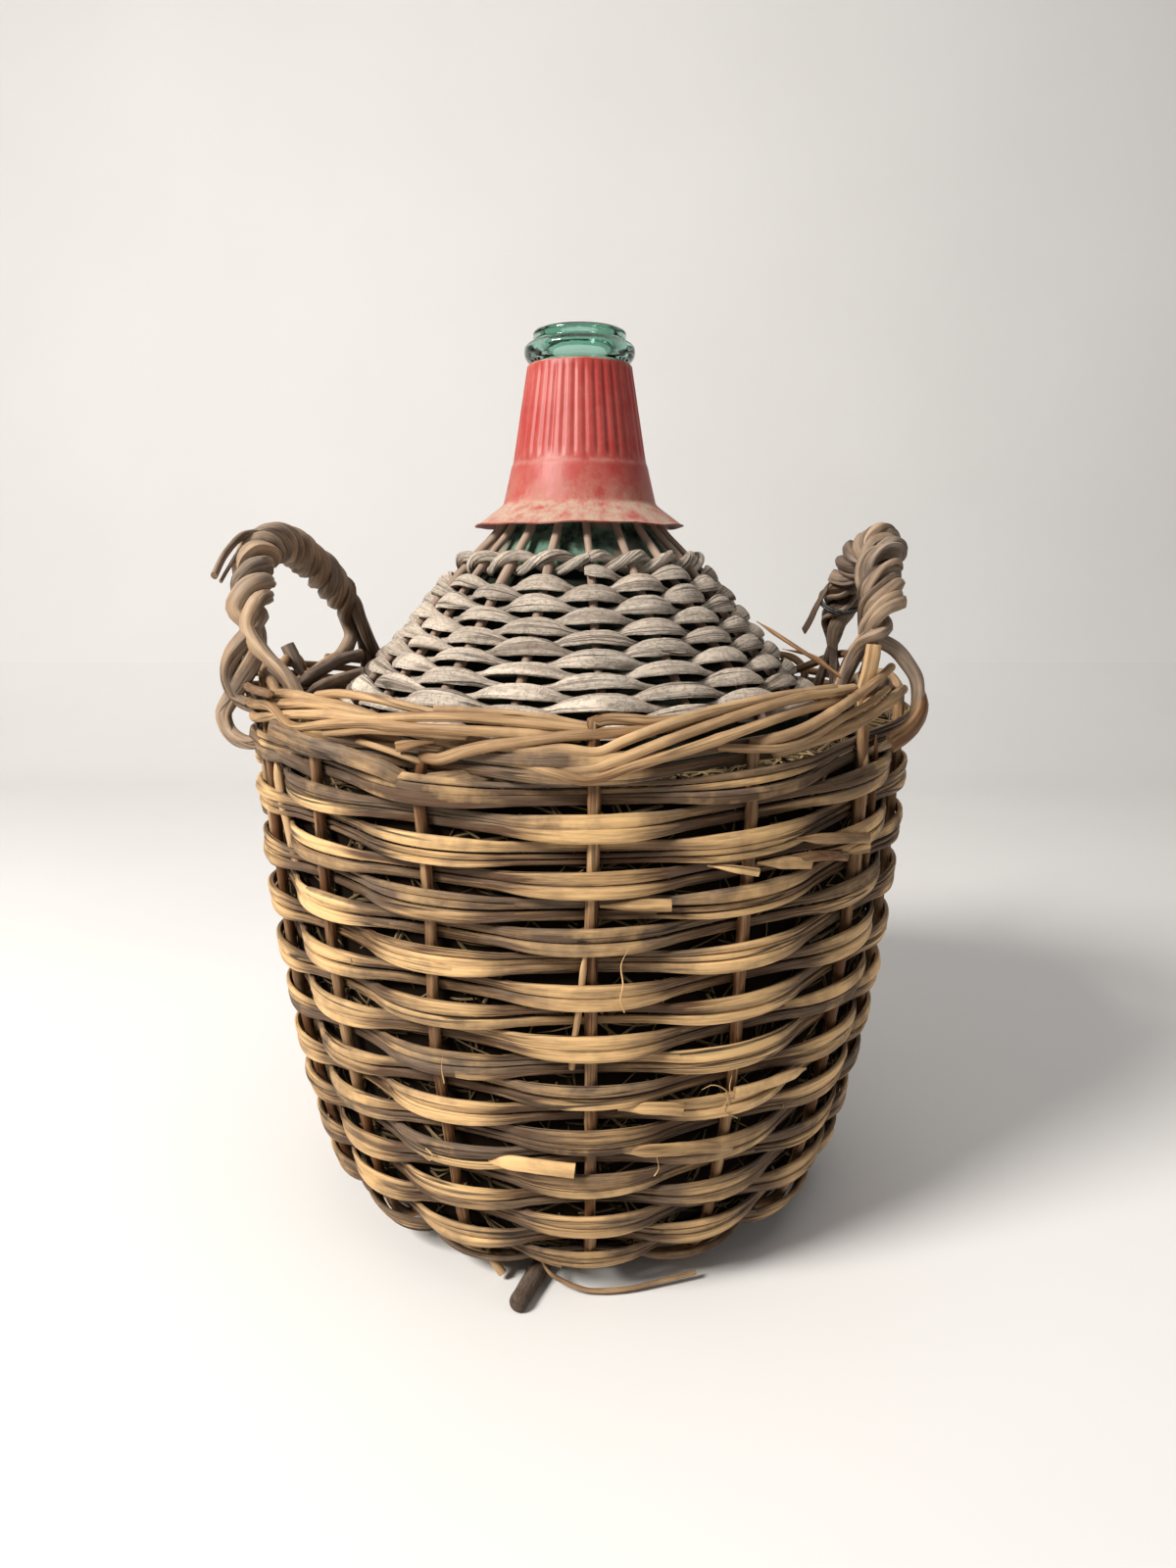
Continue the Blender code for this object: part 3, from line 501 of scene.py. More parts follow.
def turned(angle, radius, height):
    """Points at these angles (radians from the front), radii and heights."""
    angle, radius, height = np.broadcast_arrays(angle, radius, height)
    return np.stack((radius * np.sin(angle), -radius * np.cos(angle), height), axis=-1)


class Outline:
    """A smooth line of (radius, height) points, read by the distance along it."""

    spacing = 0.0008

    def __init__(self, points):
        self.line = even(curve_through(points, 16), self.spacing)
        self.reach = distances(self.line)
        self.length = self.reach[-1]
        step = unit(np.gradient(self.line, axis=0))
        self.normals = np.stack((step[:, 1], -step[:, 0]), axis=1)

    def at(self, distance, offset=0.0):
        """Radius and height at these distances, moved outwards by the offset."""
        place = [np.interp(distance, self.reach, self.line[:, axis]) for axis in (0, 1)]
        out = self.normal(distance)
        beyond = np.asarray(distance) - np.clip(distance, 0.0, self.length)
        return place[0] + offset * out[0] - beyond * out[1], place[1] + offset * out[1] + beyond * out[0]

    def normal(self, distance):
        return [np.interp(distance, self.reach, self.normals[:, axis]) for axis in (0, 1)]

    def where_height(self, height):
        return np.interp(height, self.line[:, 1], self.reach)


def glass_points():
    points = [(r * body_radius, foot_level + h * body_height) for r, h in body_shares]
    step = neck_root_radius - neck_radius
    return points + [(neck_radius + r * step, neck_level + h * neck_height) for r, h in neck_shares]


def stake_angle(place):
    """The angle of a place counted in stakes, part way between two of them where it isn't whole."""
    place = np.asarray(place, float)
    whole = np.floor(place).astype(int)
    here = np.take(stake_degrees, whole % stake_count) + 360 * (whole // stake_count)
    after = np.take(stake_degrees, (whole + 1) % stake_count) + 360 * ((whole + 1) // stake_count)
    return np.radians(here + (place - whole) * (after - here))


def on_basket(angle, radius, height):
    """Points of the wall or border, lifted where the rim rises towards the handles."""
    start = base_level + rim_rise_start_share * wall_height
    share = smooth((height - start) / (base_level + wall_height - start))
    return turned(angle, radius, height + rim_rise * share * np.sin(angle) ** 2)


def border_points(route):
    """Points on the rim from (stakes, rods outwards, steps up)."""
    return on_basket(stake_angle(route[:, 0]), wall_outline.line[-1, 0] + route[:, 1] * rod_step,
                     border_level + route[:, 2] * border_step)


def above_border(route):
    """Points from (degrees, radius, height above the border)."""
    degrees, radius, height = np.array(route).T
    return turned(np.radians(degrees), radius, border_level + height)


def handle_line(side):
    """The middle line of a handle, from its front leg to its back one."""
    return even(curve_through(above_border(handle_arches[side]), 12), 0.0016)


glass_outline = Outline(glass_points())
wall_outline = Outline([(r * belly_radius, base_level + h * wall_height) for r, h in wall_shares])
shoulder_top = glass_outline.where_height(neck_level)


# Rods and splints, lofted along lines


def drift(chance, distance, spacing, size):
    """A value that wanders smoothly along the distance."""
    place = (distance - np.min(distance)) / spacing + chance.random_sample()
    knots = chance.normal(0.0, size, int(np.max(place)) + 2)
    whole = place.astype(int)
    share = smooth(place - whole)
    return knots[whole] * (1 - share) + knots[whole + 1] * share


def uneven(chance, distance, spacing, size):
    """A factor that wanders round 1."""
    return 1 + drift(chance, distance, spacing, size)


def toned(chance, tone, distance, spacing, size):
    """A tone that wanders, kept between 0 and 1."""
    return np.clip(tone + drift(chance, distance, spacing, size), 0, 1)


def faded(tone, share):
    """One tone all along, or one that goes from its first value to its second."""
    return tone[0] + (tone[1] - tone[0]) * share if np.ndim(tone) else tone


def grooved(chance, along, sides, columns, count, spacing, size, least, most, rough):
    """How far a section's points lie out: some columns sink into grooves that come and go."""
    relief = np.ones((len(along), sides))
    for column in chance.choice(columns, count, replace=False):
        relief[:, column] -= np.clip(drift(chance, along, spacing, size) - least, 0.0, most)
    return relief * (1 + chance.normal(0, rough, relief.shape))


def fluted(chance, along, sides, depth):
    """A section that is a little wider one way than the other, and turns as it goes."""
    return 1 + depth * np.cos(2 * round_angles(sides)[None, :] + drift(chance, along, 0.02, 1.0)[:, None])


def ends_narrowed(width, first, last):
    """Narrows the first and last three widths of a strip by these factors."""
    width[:3] *= first
    width[-3:] *= last
    return width


def round_angles(sides):
    return TAU * np.arange(sides) / sides


def split_section(sides, flat=0.75):
    """Half-round section of a split rod, flatter behind than in front."""
    angle = round_angles(sides)
    across = np.sign(np.cos(angle)) * np.abs(np.cos(angle)) ** 0.60
    out = np.where(np.sin(angle) > 0, np.abs(np.sin(angle)) ** 0.58, -flat * np.abs(np.sin(angle)) ** 0.50)
    return np.stack((across, out), axis=1)


def round_section(sides):
    angle = round_angles(sides)
    return np.stack((np.cos(angle), np.sin(angle)), axis=1)


def lens_section(sides):
    """Section of a flattened rod."""
    across, out = round_section(sides).T
    return np.stack((across, out * (0.78 + 0.22 * np.abs(out))), axis=1)


def carried(line, start):
    """Carries a direction along the line without turning it about the line."""
    along = unit(np.gradient(line, axis=0))
    normal = np.asarray(start, float)
    result = []
    for step in along:
        normal = unit(normal - normal @ step * step)
        result.append(normal)
    return np.array(result)


class Loft:
    """Gathers strips and rods into one mesh, with a UV along the grain and a tone at each corner."""

    def __init__(self, seed):
        self.chance = np.random.RandomState(seed)
        self.points, self.faces, self.grain, self.tones = [], [], [], []
        self.count = 0

    def add(self, line, outward, section, width, depth, twist=0.0, shade=0.5, grey=0.5, relief=None,
            closed=False, dome=False):
        """Lofts a section, given in half widths and half depths, along a line. A dome rounds its ends."""
        rings, sides = len(line), len(section)
        if closed:
            along = unit(np.roll(line, -1, axis=0) - np.roll(line, 1, axis=0))
        else:
            along = unit(np.gradient(line, axis=0))
        out = unit(outward - np.sum(outward * along, axis=1, keepdims=True) * along)
        across = np.cross(out, along)
        twist = np.broadcast_to(twist, rings)
        cos, sin = np.cos(twist)[:, None], np.sin(twist)[:, None]
        across, out = cos * across + sin * out, cos * out - sin * across
        width, depth = np.broadcast_to(width, rings), np.broadcast_to(depth, rings)
        if dome:
            order = np.concatenate(([0] * 3, np.arange(rings), [rings - 1] * 3))
            size, push = np.ones(rings + 6), np.zeros(rings + 6)
            size[:3], size[-3:] = (0.45, 0.76, 0.93), (0.93, 0.76, 0.45)
            push[:3], push[-3:] = (-0.80, -0.62, -0.34), (0.34, 0.62, 0.80)
            line = line[order] + (push * width[order] / 2)[:, None] * along[order]
            across, out, width, depth = across[order], out[order], size * width[order], size * depth[order]
            shade, grey = (np.broadcast_to(tone, rings)[order] for tone in (shade, grey))
            relief = None if relief is None else relief[order]
            rings += 6
        x = section[None, :, 0] * width[:, None] / 2
        y = section[None, :, 1] * depth[:, None] / 2
        if relief is not None:
            x, y = x * relief, y * relief
        points = line[:, None, :] + x[..., None] * across[:, None, :] + y[..., None] * out[:, None, :]
        reach = distances(line) + self.chance.uniform(0, 50)
        girth = distances(np.concatenate((points[0], points[0][:1]))) + self.chance.uniform(0, 50)
        first = self.count + np.arange(rings * sides).reshape(rings, sides)
        last = rings if closed else rings - 1
        i, j = np.meshgrid(np.arange(last), np.arange(sides), indexing="ij")
        i2, j2 = (i + 1) % rings, (j + 1) % sides
        quads = np.stack((first[i, j], first[i, j2], first[i2, j2], first[i2, j]), axis=-1).reshape(-1, 4)
        length = np.append(reach, 2 * reach[-1] - reach[-2])
        u = np.stack((length[i], length[i], length[i + 1], length[i + 1]), axis=-1).reshape(-1)
        v = np.stack((girth[j], girth[j + 1], girth[j + 1], girth[j]), axis=-1).reshape(-1)
        shade, grey = np.broadcast_to(shade, rings), np.broadcast_to(grey, rings)
        index = np.stack((i, i, i2, i2), axis=-1).reshape(-1)
        self.points.append(points.reshape(-1, 3))
        self.faces += quads.tolist()
        self.grain.append(np.stack((u, v), axis=1))
        self.tones.append(np.stack((shade[index], grey[index], np.zeros_like(u), np.ones_like(u)), axis=1))
        self.count += rings * sides
        if not closed:
            for end, ring in ((0, first[0][::-1]), (-1, first[-1])):
                self.points.append(points[end].mean(axis=0)[None])
                fan = [(self.count, a, b) for a, b in zip(ring, np.roll(ring, -1))]
                self.count += 1
                self.faces += [tuple(int(k) for k in face) for face in fan]
                self.grain.append(self.chance.uniform(0, 50) + self.chance.uniform(0, 0.002, (3 * sides, 2)))
                self.tones.append(np.tile((shade[end], grey[end], 1.0, 1.0), (3 * sides, 1)))
        return points

    def rod(self, points, radius, start=(0, 0, 1), taper=1.0, shade=0.5, grey=0.5, sides=10, wobble=0.05,
            spacing=0.003, steps=10):
        """Lofts a round rod through the points."""
        line = even(curve_through(points, steps), spacing)
        reach = distances(line)
        share = reach / reach[-1]
        size = 2 * radius * (1 + (taper - 1) * share) * uneven(self.chance, reach, 0.012, wobble / 2)
        turn = drift(self.chance, reach, 0.03, 0.2)
        flute = fluted(self.chance, reach, sides, wobble)
        self.add(line, carried(line, start), round_section(sides), size, size, turn, faded(shade, share),
                 faded(grey, share), flute, dome=True)

    def finish(self, name, finish):
        """Makes the mesh and its object, with edges of more than 50 degrees left sharp."""
        data = bpy.data.meshes.new(name)
        data.from_pydata(np.concatenate(self.points).tolist(), [], self.faces)
        data.uv_layers.new(name="grain").data.foreach_set("uv", np.concatenate(self.grain).ravel())
        tone = data.color_attributes.new(name="tone", type="FLOAT_COLOR", domain="CORNER")
        tone.data.foreach_set("color", np.concatenate(self.tones).ravel())
        data.shade_smooth()
        data.set_sharp_from_angle(angle=math.radians(50))
        data.materials.append(finish)
        piece = bpy.data.objects.new(name, data)
        bpy.context.scene.collection.objects.link(piece)
        return piece


def settle(piece, body, slot, *nodes):
    """Ties a finished piece to its body and hides the solids that it stands for. The material slot is not
    used.
    """
    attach(piece, body)
    if nodes:
        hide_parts(*nodes)


# Finishes


def shader_group(name, inputs, outputs):
    """An empty node group with these sockets: {name: default}, a number or a colour."""
    group = bpy.data.node_groups.new(name, "ShaderNodeTree")
    for label, value in inputs.items():
        kind = "NodeSocketColor" if isinstance(value, tuple) else "NodeSocketFloat"
        socket = group.interface.new_socket(name=label, in_out="INPUT", socket_type=kind)
        socket.default_value = (*value, 1.0) if isinstance(value, tuple) else value
    for label, kind in outputs.items():
        group.interface.new_socket(name=label, in_out="OUTPUT", socket_type=kind)
    return group, group.nodes.new("NodeGroupInput"), group.nodes.new("NodeGroupOutput")


class Wiring:
    """Adds and joins the nodes of one tree."""

    def __init__(self, tree):
        self.tree = tree

    def node(self, kind, settings=None, **inputs):
        made = self.tree.nodes.new(kind)
        for key, value in (settings or {}).items():
            setattr(made, key, value)
        for key, value in inputs.items():
            self.set(made, key.replace("_", " "), value)
        return made

    def set(self, node, key, value):
        """Gives a socket, named or numbered, a value or what comes out of another node."""
        socket = node.inputs[key]
        if isinstance(value, bpy.types.NodeSocket):
            self.tree.links.new(value, socket)
        elif socket.type == "RGBA" and len(value) == 3:
            socket.default_value = (*value, 1.0)
        else:
            socket.default_value = value

    def math(self, operation, first, second=0.5, clamp=False):
        node = self.node("ShaderNodeMath", {"operation": operation, "use_clamp": clamp})
        self.set(node, 0, first)
        self.set(node, 1, second)
        return node.outputs[0]

    def ramp(self, value, low, high, to_low=0.0, to_high=1.0):
        """A smooth step from one value to another between two limits."""
        return self.node("ShaderNodeMapRange", {"interpolation_type": "SMOOTHSTEP"}, Value=value,
                         From_Min=low, From_Max=high, To_Min=to_low, To_Max=to_high).outputs["Result"]

    def mix(self, share, first, second, blend="MIX"):
        """A mix of two colours."""
        node = self.node("ShaderNodeMix", {"data_type": "RGBA", "blend_type": blend}, Factor=share)
        self.set(node, 6, first)
        self.set(node, 7, second)
        return node.outputs[2]

    def noise(self, vector, scale, detail=3.0, rough=0.55, warp=0.0):
        return self.node("ShaderNodeTexNoise", Vector=vector, Scale=scale, Detail=detail, Roughness=rough,
                         Distortion=warp).outputs["Fac"]

    def times(self, vector, factors):
        """A vector stretched by other factors along x, y and z."""
        node = self.node("ShaderNodeVectorMath", {"operation": "MULTIPLY"})
        self.set(node, 0, vector)
        self.set(node, 1, factors)
        return node.outputs[0]

    def grain(self, uv, along, across, detail=2.0, rough=0.55, warp=0.0):
        """Noise drawn out along the grain, with this many waves a metre along and across it."""
        return self.noise(self.times(uv, (along, across, 1.0)), 1.0, detail, rough, warp)

    def place(self):
        return self.node("ShaderNodeTexCoord").outputs["Object"]

    def level(self, place):
        return self.node("ShaderNodeSeparateXYZ", Vector=place).outputs["Z"]


def grain_group():
    """Long wood grain with cracks, weathering and a pale cut end, read from the grain UV and the tone."""
    group, into, out = shader_group(
        "Wood grain",
        {"Light": (0.6, 0.4, 0.2), "Dark": (0.2, 0.1, 0.05), "Weathered": (0.2, 0.15, 0.1), "Grain": 1.0,
         "Cracks": 1.0, "Weathering": 0.5, "Length": 1.0, "Pits": 0.0},
        {"Colour": "NodeSocketColor", "Height": "NodeSocketFloat", "Worn": "NodeSocketFloat"},
    )
    w = Wiring(group)
    uv = w.node("ShaderNodeUVMap", {"uv_map": "grain"}).outputs["UV"]
    tone = w.node("ShaderNodeAttribute", {"attribute_name": "tone"})
    parts = w.node("ShaderNodeSeparateColor", Color=tone.outputs["Color"])
    shade, grey, cut = parts.outputs[0], parts.outputs[1], parts.outputs[2]
    place = w.place()
    uv = w.times(uv, w.node("ShaderNodeCombineXYZ", X=into.outputs["Length"], Y=1.0, Z=1.0).outputs[0])
    streak = w.grain(uv, 12, 420, 4.0, 0.58, 0.4)
    fibre = w.grain(uv, 60, 2300, rough=0.6)
    band = w.grain(uv, 5, 150, 3.0, 0.5, 0.6)
    line = w.math("SUBTRACT", w.grain(uv, 6, 240, rough=0.5, warp=0.4), 0.5)
    line = w.ramp(w.math("ABSOLUTE", line), 0.004, 0.026, 1.0, 0.0)
    opened = w.ramp(w.grain(uv, 9, 110), 0.46, 0.58)
    crack = w.math("MULTIPLY", w.math("MULTIPLY", line, opened), into.outputs["Cracks"], clamp=True)
    blotch = w.noise(place, 34.0, 4.0, 0.6)
    pore = w.noise(place, 900.0, 2.0, 0.6)
    pits = w.ramp(w.grain(uv, 420, 1050, 3.0, 0.65, 0.8), 0.52, 0.60)
    pits = w.math("MULTIPLY", pits, into.outputs["Pits"], clamp=True)
    light = w.math("ADD", w.ramp(streak, 0.30, 0.68, -0.30, 0.30), w.ramp(band, 0.3, 0.7, -0.30, 0.30))
    light = w.math("MULTIPLY", light, into.outputs["Grain"])
    light = w.math("ADD", light, w.ramp(fibre, 0.3, 0.7, -0.15, 0.15))
    light = w.math("ADD", light, shade, clamp=True)
    colour = w.mix(light, into.outputs["Dark"], into.outputs["Light"])
    worn = w.math("ADD", w.ramp(blotch, 0.34, 0.68, -0.55, 0.55), w.ramp(band, 0.35, 0.65, -0.35, 0.35))
    worn = w.math("MULTIPLY", worn, into.outputs["Weathering"])
    worn = w.math("ADD", worn, grey, clamp=True)
    grey_light = w.mix(w.ramp(fibre, 0.25, 0.75), (0.50, 0.50, 0.50), (1.45, 1.45, 1.45))
    grey_colour = w.mix(1.0, into.outputs["Weathered"], grey_light, "MULTIPLY")
    grey_colour = w.mix(w.ramp(streak, 0.34, 0.66, 0.0, 0.75), grey_colour, into.outputs["Dark"])
    colour = w.mix(worn, colour, grey_colour)
    colour = w.mix(w.math("MULTIPLY", pits, 0.6), colour, (0.035, 0.024, 0.018))
    colour = w.mix(w.math("MULTIPLY", crack, 0.93), colour, (0.012, 0.007, 0.004))
    end = w.mix(pore, into.outputs["Dark"], into.outputs["Light"])
    colour = w.mix(cut, colour, end)
    height = w.math("ADD", w.math("MULTIPLY", streak, 1.1), w.math("MULTIPLY", fibre, 0.40))
    height = w.math("ADD", height, w.math("MULTIPLY", pore, 0.12))
    height = w.math("SUBTRACT", height, w.math("MULTIPLY", crack, 1.6))
    height = w.math("SUBTRACT", height, w.math("MULTIPLY", pits, 0.5))
    for label, value in (("Colour", colour), ("Height", height), ("Worn", worn)):
        w.set(out, label, value)
    return group


def dust_group():
    """Dust that settles where a surface faces up, thicker in some places than in others."""
    group, into, out = shader_group(
        "Settled dust",
        {"Colour": (0.5, 0.5, 0.5), "Dust": (0.5, 0.4, 0.3), "Amount": 0.5, "Scale": 60.0, "Sides": 0.0},
        {"Colour": "NodeSocketColor", "Mask": "NodeSocketFloat"},
    )
    w = Wiring(group)
    facing = w.node("ShaderNodeSeparateXYZ", Vector=w.node("ShaderNodeNewGeometry").outputs["Normal"])
    place = w.place()
    patch = w.noise(place, into.outputs["Scale"], 5.0, 0.65)
    speck = w.noise(place, 700.0, 3.0, 0.6)
    up = w.math("ADD", w.ramp(facing.outputs["Z"], 0.05, 0.85), into.outputs["Sides"])
    mask = w.math("MULTIPLY", up, w.ramp(patch, 0.30, 0.62))
    mask = w.math("MULTIPLY", mask, w.ramp(speck, 0.25, 0.6, 0.55, 1.0))
    mask = w.math("MULTIPLY", mask, into.outputs["Amount"], clamp=True)
    w.set(out, "Colour", w.mix(mask, into.outputs["Colour"], into.outputs["Dust"]))
    w.set(out, "Mask", mask)
    return group


def finish_of(name):
    """A new material, its wiring and its surface shader."""
    made = bpy.data.materials.new(name)
    made.use_nodes = True
    return made, Wiring(made.node_tree), made.node_tree.nodes["Principled BSDF"]


def bumped(w, shader, height, strength, distance):
    """Feeds a height to the shader's normal."""
    node = w.node("ShaderNodeBump", Strength=strength, Distance=distance, Height=height)
    w.set(shader, "Normal", node.outputs["Normal"])


class Finishes:
    """Every material of the scene, made once."""

    def make(self, colours):
        self.grain, self.settled = grain_group(), dust_group()
        self.dust = tuple(colours.dust)
        splint = (tuple(colours.splint_light), tuple(colours.splint_dark), tuple(colours.splint_grey))
        cover = (tuple(colours.cover_light), tuple(colours.cover_dark), tuple(colours.cover_grey))
        self.splint = self.wood("split_wood", splint, weathering=0.68, dusty=0.08, relief=0.0009)
        self.stake = self.wood(
            "peeled_stake", ((0.57, 0.37, 0.19), (0.120, 0.050, 0.019), (0.22, 0.150, 0.092)),
            cracks=0.6, dusty=0.04, rough=(0.5, 0.8), relief=0.0004, shine=0.15,
        )
        self.handle = self.wood(
            "twisted_willow", ((0.45, 0.305, 0.185), (0.040, 0.019, 0.010), (0.25, 0.195, 0.15)),
            cracks=0.5, weathering=0.6, rough=(0.5, 0.85), relief=0.0006,
        )
        self.cover_strip = self.wood(
            "cover_willow", cover, cracks=0.8, weathering=0.9, rough=(0.80, 0.95), relief=0.0011, pits=0.5,
        )
        self.cover_rod = self.wood(
            "cover_rods", ((0.42, 0.30, 0.22), (0.12, 0.072, 0.052), (0.28, 0.215, 0.175)),
            cracks=0.3, grain=0.6, rough=(0.7, 0.92), relief=0.0004,
        )
        self.bark = self.wood(
            "bark_stick", ((0.15, 0.095, 0.06), (0.035, 0.022, 0.015), (0.09, 0.065, 0.05)),
            weathering=0.8, dusty=0.2, rough=(0.8, 0.95), relief=0.0016, length=4.0,
        )
        # The straw's dark and weathered tones are near black: painted shade for the packing deep in the gaps
        # of the wall.
        self.straw = self.wood(
            "dry_straw", ((0.36, 0.255, 0.13), (0.010, 0.006, 0.0035), (0.020, 0.013, 0.008)),
            cracks=0.4, dusty=0.0, rough=(0.9, 1.0), relief=0.0009, shine=0.04,
        )
        self.glass = self.glass_finish(tuple(colours.glass))
        self.dust_and_shade_film = self.dust_and_shade_finish()
        self.collar = self.collar_finish(tuple(colours.collar))
        self.wire = self.wire_finish()
        self.floor = self.floor_finish()

    def dusted(self, w, colour, amount, scale, sides=0.0):
        """Dust over a colour: the group's colour and mask."""
        film = w.node("ShaderNodeGroup", {"node_tree": self.settled}, Colour=colour, Dust=self.dust,
                      Amount=amount, Scale=scale, Sides=sides)
        return film.outputs["Colour"], film.outputs["Mask"]

    def wood(self, name, tones, grain=1.0, cracks=1.0, weathering=0.5, rough=(0.55, 0.85), dusty=0.3,
             relief=0.0007, length=1.0, pits=0.0, shine=0.35):
        """Weathered wood of a light, a dark and a grey tone: grain, cracks, grey patches and dust."""
        made, w, shader = finish_of(name)
        light, dark, weathered = tones
        figure = w.node("ShaderNodeGroup", {"node_tree": self.grain}, Light=light, Dark=dark,
                        Weathered=weathered, Grain=grain, Cracks=cracks, Weathering=weathering,
                        Length=length, Pits=pits).outputs
        colour, mask = self.dusted(w, figure["Colour"], dusty, 70.0)
        w.set(shader, "Base Color", colour)
        w.set(shader, "Roughness", w.ramp(w.math("ADD", figure["Worn"], mask), 0.0, 1.0, *rough))
        w.set(shader, "Specular IOR Level", shine)
        bumped(w, shader, figure["Height"], 0.75, relief)
        return made

    def glass_finish(self, tint):
        """Thick green glass with ripples, and a film of dust that dulls it."""
        made, w, shader = finish_of("green_glass")
        place = w.place()
        level = w.level(place)
        covered = w.ramp(level, collar_low.z - 0.004, collar_low.z + 0.012, 1.0, 0.0)
        grime = w.math("MULTIPLY", covered, w.ramp(w.noise(place, 70.0, 5.0, 0.7), 0.36, 0.60))
        grime = w.math("MULTIPLY", grime, w.ramp(level, straw_high.z - 0.02, straw_high.z, 0.15, 1.0))
        colour = w.mix(covered, tint, tuple(0.30 * c * c for c in tint))
        colour, mask = self.dusted(w, colour, 0.55, 55.0, 0.12)
        colour = w.mix(w.math("MULTIPLY", grime, 0.85), colour, (0.060, 0.045, 0.032))
        w.set(shader, "Base Color", colour)
        dull = w.math("ADD", mask, w.math("MULTIPLY", grime, 0.7), clamp=True)
        w.set(shader, "Roughness", w.ramp(dull, 0.0, 0.7, 0.03, 0.60))
        w.set(shader, "Transmission Weight", 1.0)
        w.set(shader, "IOR", 1.5)
        ripple = w.noise(w.times(place, (60, 60, 140)), 1.0, 2.0, 0.5, 0.5)
        bumped(w, shader, ripple, 0.25, 0.0012)
        return made

    def dust_and_shade_finish(self):
        """Green and brown patches of caked dust above the cover, and near black under it: painted shade in
        the cover's gaps.
        """
        made, w, shader = finish_of("glass_dust_and_shade")
        place = w.place()
        patch = w.noise(place, 85.0, 5.0, 0.7)
        cloud = w.noise(place, 32.0, 3.0, 0.6)
        bare = w.ramp(w.level(place), neck_level - 0.010, neck_level + 0.004)
        green = w.mix(w.ramp(patch, 0.36, 0.60), (0.026, 0.034, 0.025), (0.130, 0.225, 0.165))
        # Under the cover the film is near black: painted shade in the gaps of the weave.
        colour = w.mix(bare, (0.012, 0.015, 0.010), green)
        brown = w.math("MULTIPLY", bare, w.ramp(cloud, 0.50, 0.68, 0.0, 0.8))
        w.set(shader, "Base Color", w.mix(brown, colour, tuple(0.8 * c for c in self.dust)))
        w.set(shader, "Roughness", 0.85)
        w.set(shader, "Specular IOR Level", 0.08)
        bumped(w, shader, patch, 0.5, 0.0010)
        return made

    def collar_finish(self, red):
        """Moulded plastic with a soft sheen, faded in patches and dusty on its ledges."""
        made, w, shader = finish_of("red_plastic")
        place = w.place()
        patch = w.noise(place, 42.0, 5.0, 0.62)
        streak = w.noise(w.times(place, (260, 260, 14)), 1.0, 3.0, 0.6)
        speck = w.noise(place, 1400.0, 2.0, 0.6)
        pale = tuple(0.72 * c + 0.28 * d for c, d in zip(red, (0.62, 0.22, 0.18)))
        colour = w.mix(w.ramp(patch, 0.35, 0.7, 0.0, 0.75), red, pale)
        colour = w.mix(w.ramp(streak, 0.52, 0.75, 0.0, 0.45), colour, tuple(0.55 * c for c in red))
        low = w.ramp(w.level(place), collar_low.z, collar_low.z + 0.034, 0.85, 0.0)
        film = w.math("MULTIPLY", w.ramp(w.noise(place, 75.0, 6.0, 0.7), 0.36, 0.66), low)
        spots = w.ramp(w.noise(place, 150.0, 5.0, 0.7), 0.55, 0.80, 0.0, 0.30)
        film = w.math("ADD", film, spots, clamp=True)
        film = w.math("MULTIPLY", film, w.ramp(speck, 0.3, 0.62, 0.45, 1.0))
        colour, mask = self.dusted(w, w.mix(film, colour, self.dust), 0.95, 120.0)
        w.set(shader, "Base Color", colour)
        w.set(shader, "Roughness", w.ramp(w.math("ADD", film, mask, clamp=True), 0.0, 0.8, 0.46, 0.92))
        bumped(w, shader, w.math("ADD", streak, w.math("MULTIPLY", speck, 0.3)), 0.3, 0.0004)
        return made

    def wire_finish(self):
        """Black plastic, scuffed and a little dusty."""
        made, w, shader = finish_of("black_wire")
        scuff = w.noise(w.place(), 500.0, 3.0, 0.6)
        colour = w.mix(w.ramp(scuff, 0.45, 0.75, 0.0, 0.35), (0.012, 0.012, 0.013), self.dust)
        w.set(shader, "Base Color", colour)
        w.set(shader, "Roughness", w.ramp(scuff, 0.3, 0.7, 0.35, 0.7))
        bumped(w, shader, scuff, 0.3, 0.0003)
        return made

    def floor_finish(self):
        made, w, shader = finish_of("pale_floor")
        cloud = w.noise(w.place(), 3.0, 3.0, 0.5)
        w.set(shader, "Base Color", w.mix(cloud, (0.78, 0.762, 0.742), (0.84, 0.826, 0.806)))
        w.set(shader, "Roughness", 0.85)
        return made


finishes = Finishes()


# Shapes turned with Blender's own tools


def start_fresh():
    """Leaves edit mode and selects nothing, so that an operator acts on new geometry alone."""
    if bpy.context.object and bpy.context.object.mode != "OBJECT":
        bpy.ops.object.mode_set(mode="OBJECT")
    bpy.ops.object.select_all(action="DESELECT")


def pick(piece):
    """Selects this piece alone."""
    start_fresh()
    piece.select_set(True)
    bpy.context.view_layer.objects.active = piece


def extrude(*moves):
    """Extrudes the selected edges by each move in turn."""
    for move in moves:
        bpy.ops.mesh.extrude_edges_move(TRANSFORM_OT_translate={"value": move})


def deselect_mesh(kind):
    """Deselects all in edit mode, which is left again so that vertices can be selected in code."""
    bpy.ops.object.mode_set(mode="EDIT")
    bpy.ops.mesh.select_mode(type=kind)
    bpy.ops.mesh.select_all(action="DESELECT")
    bpy.ops.object.mode_set(mode="OBJECT")


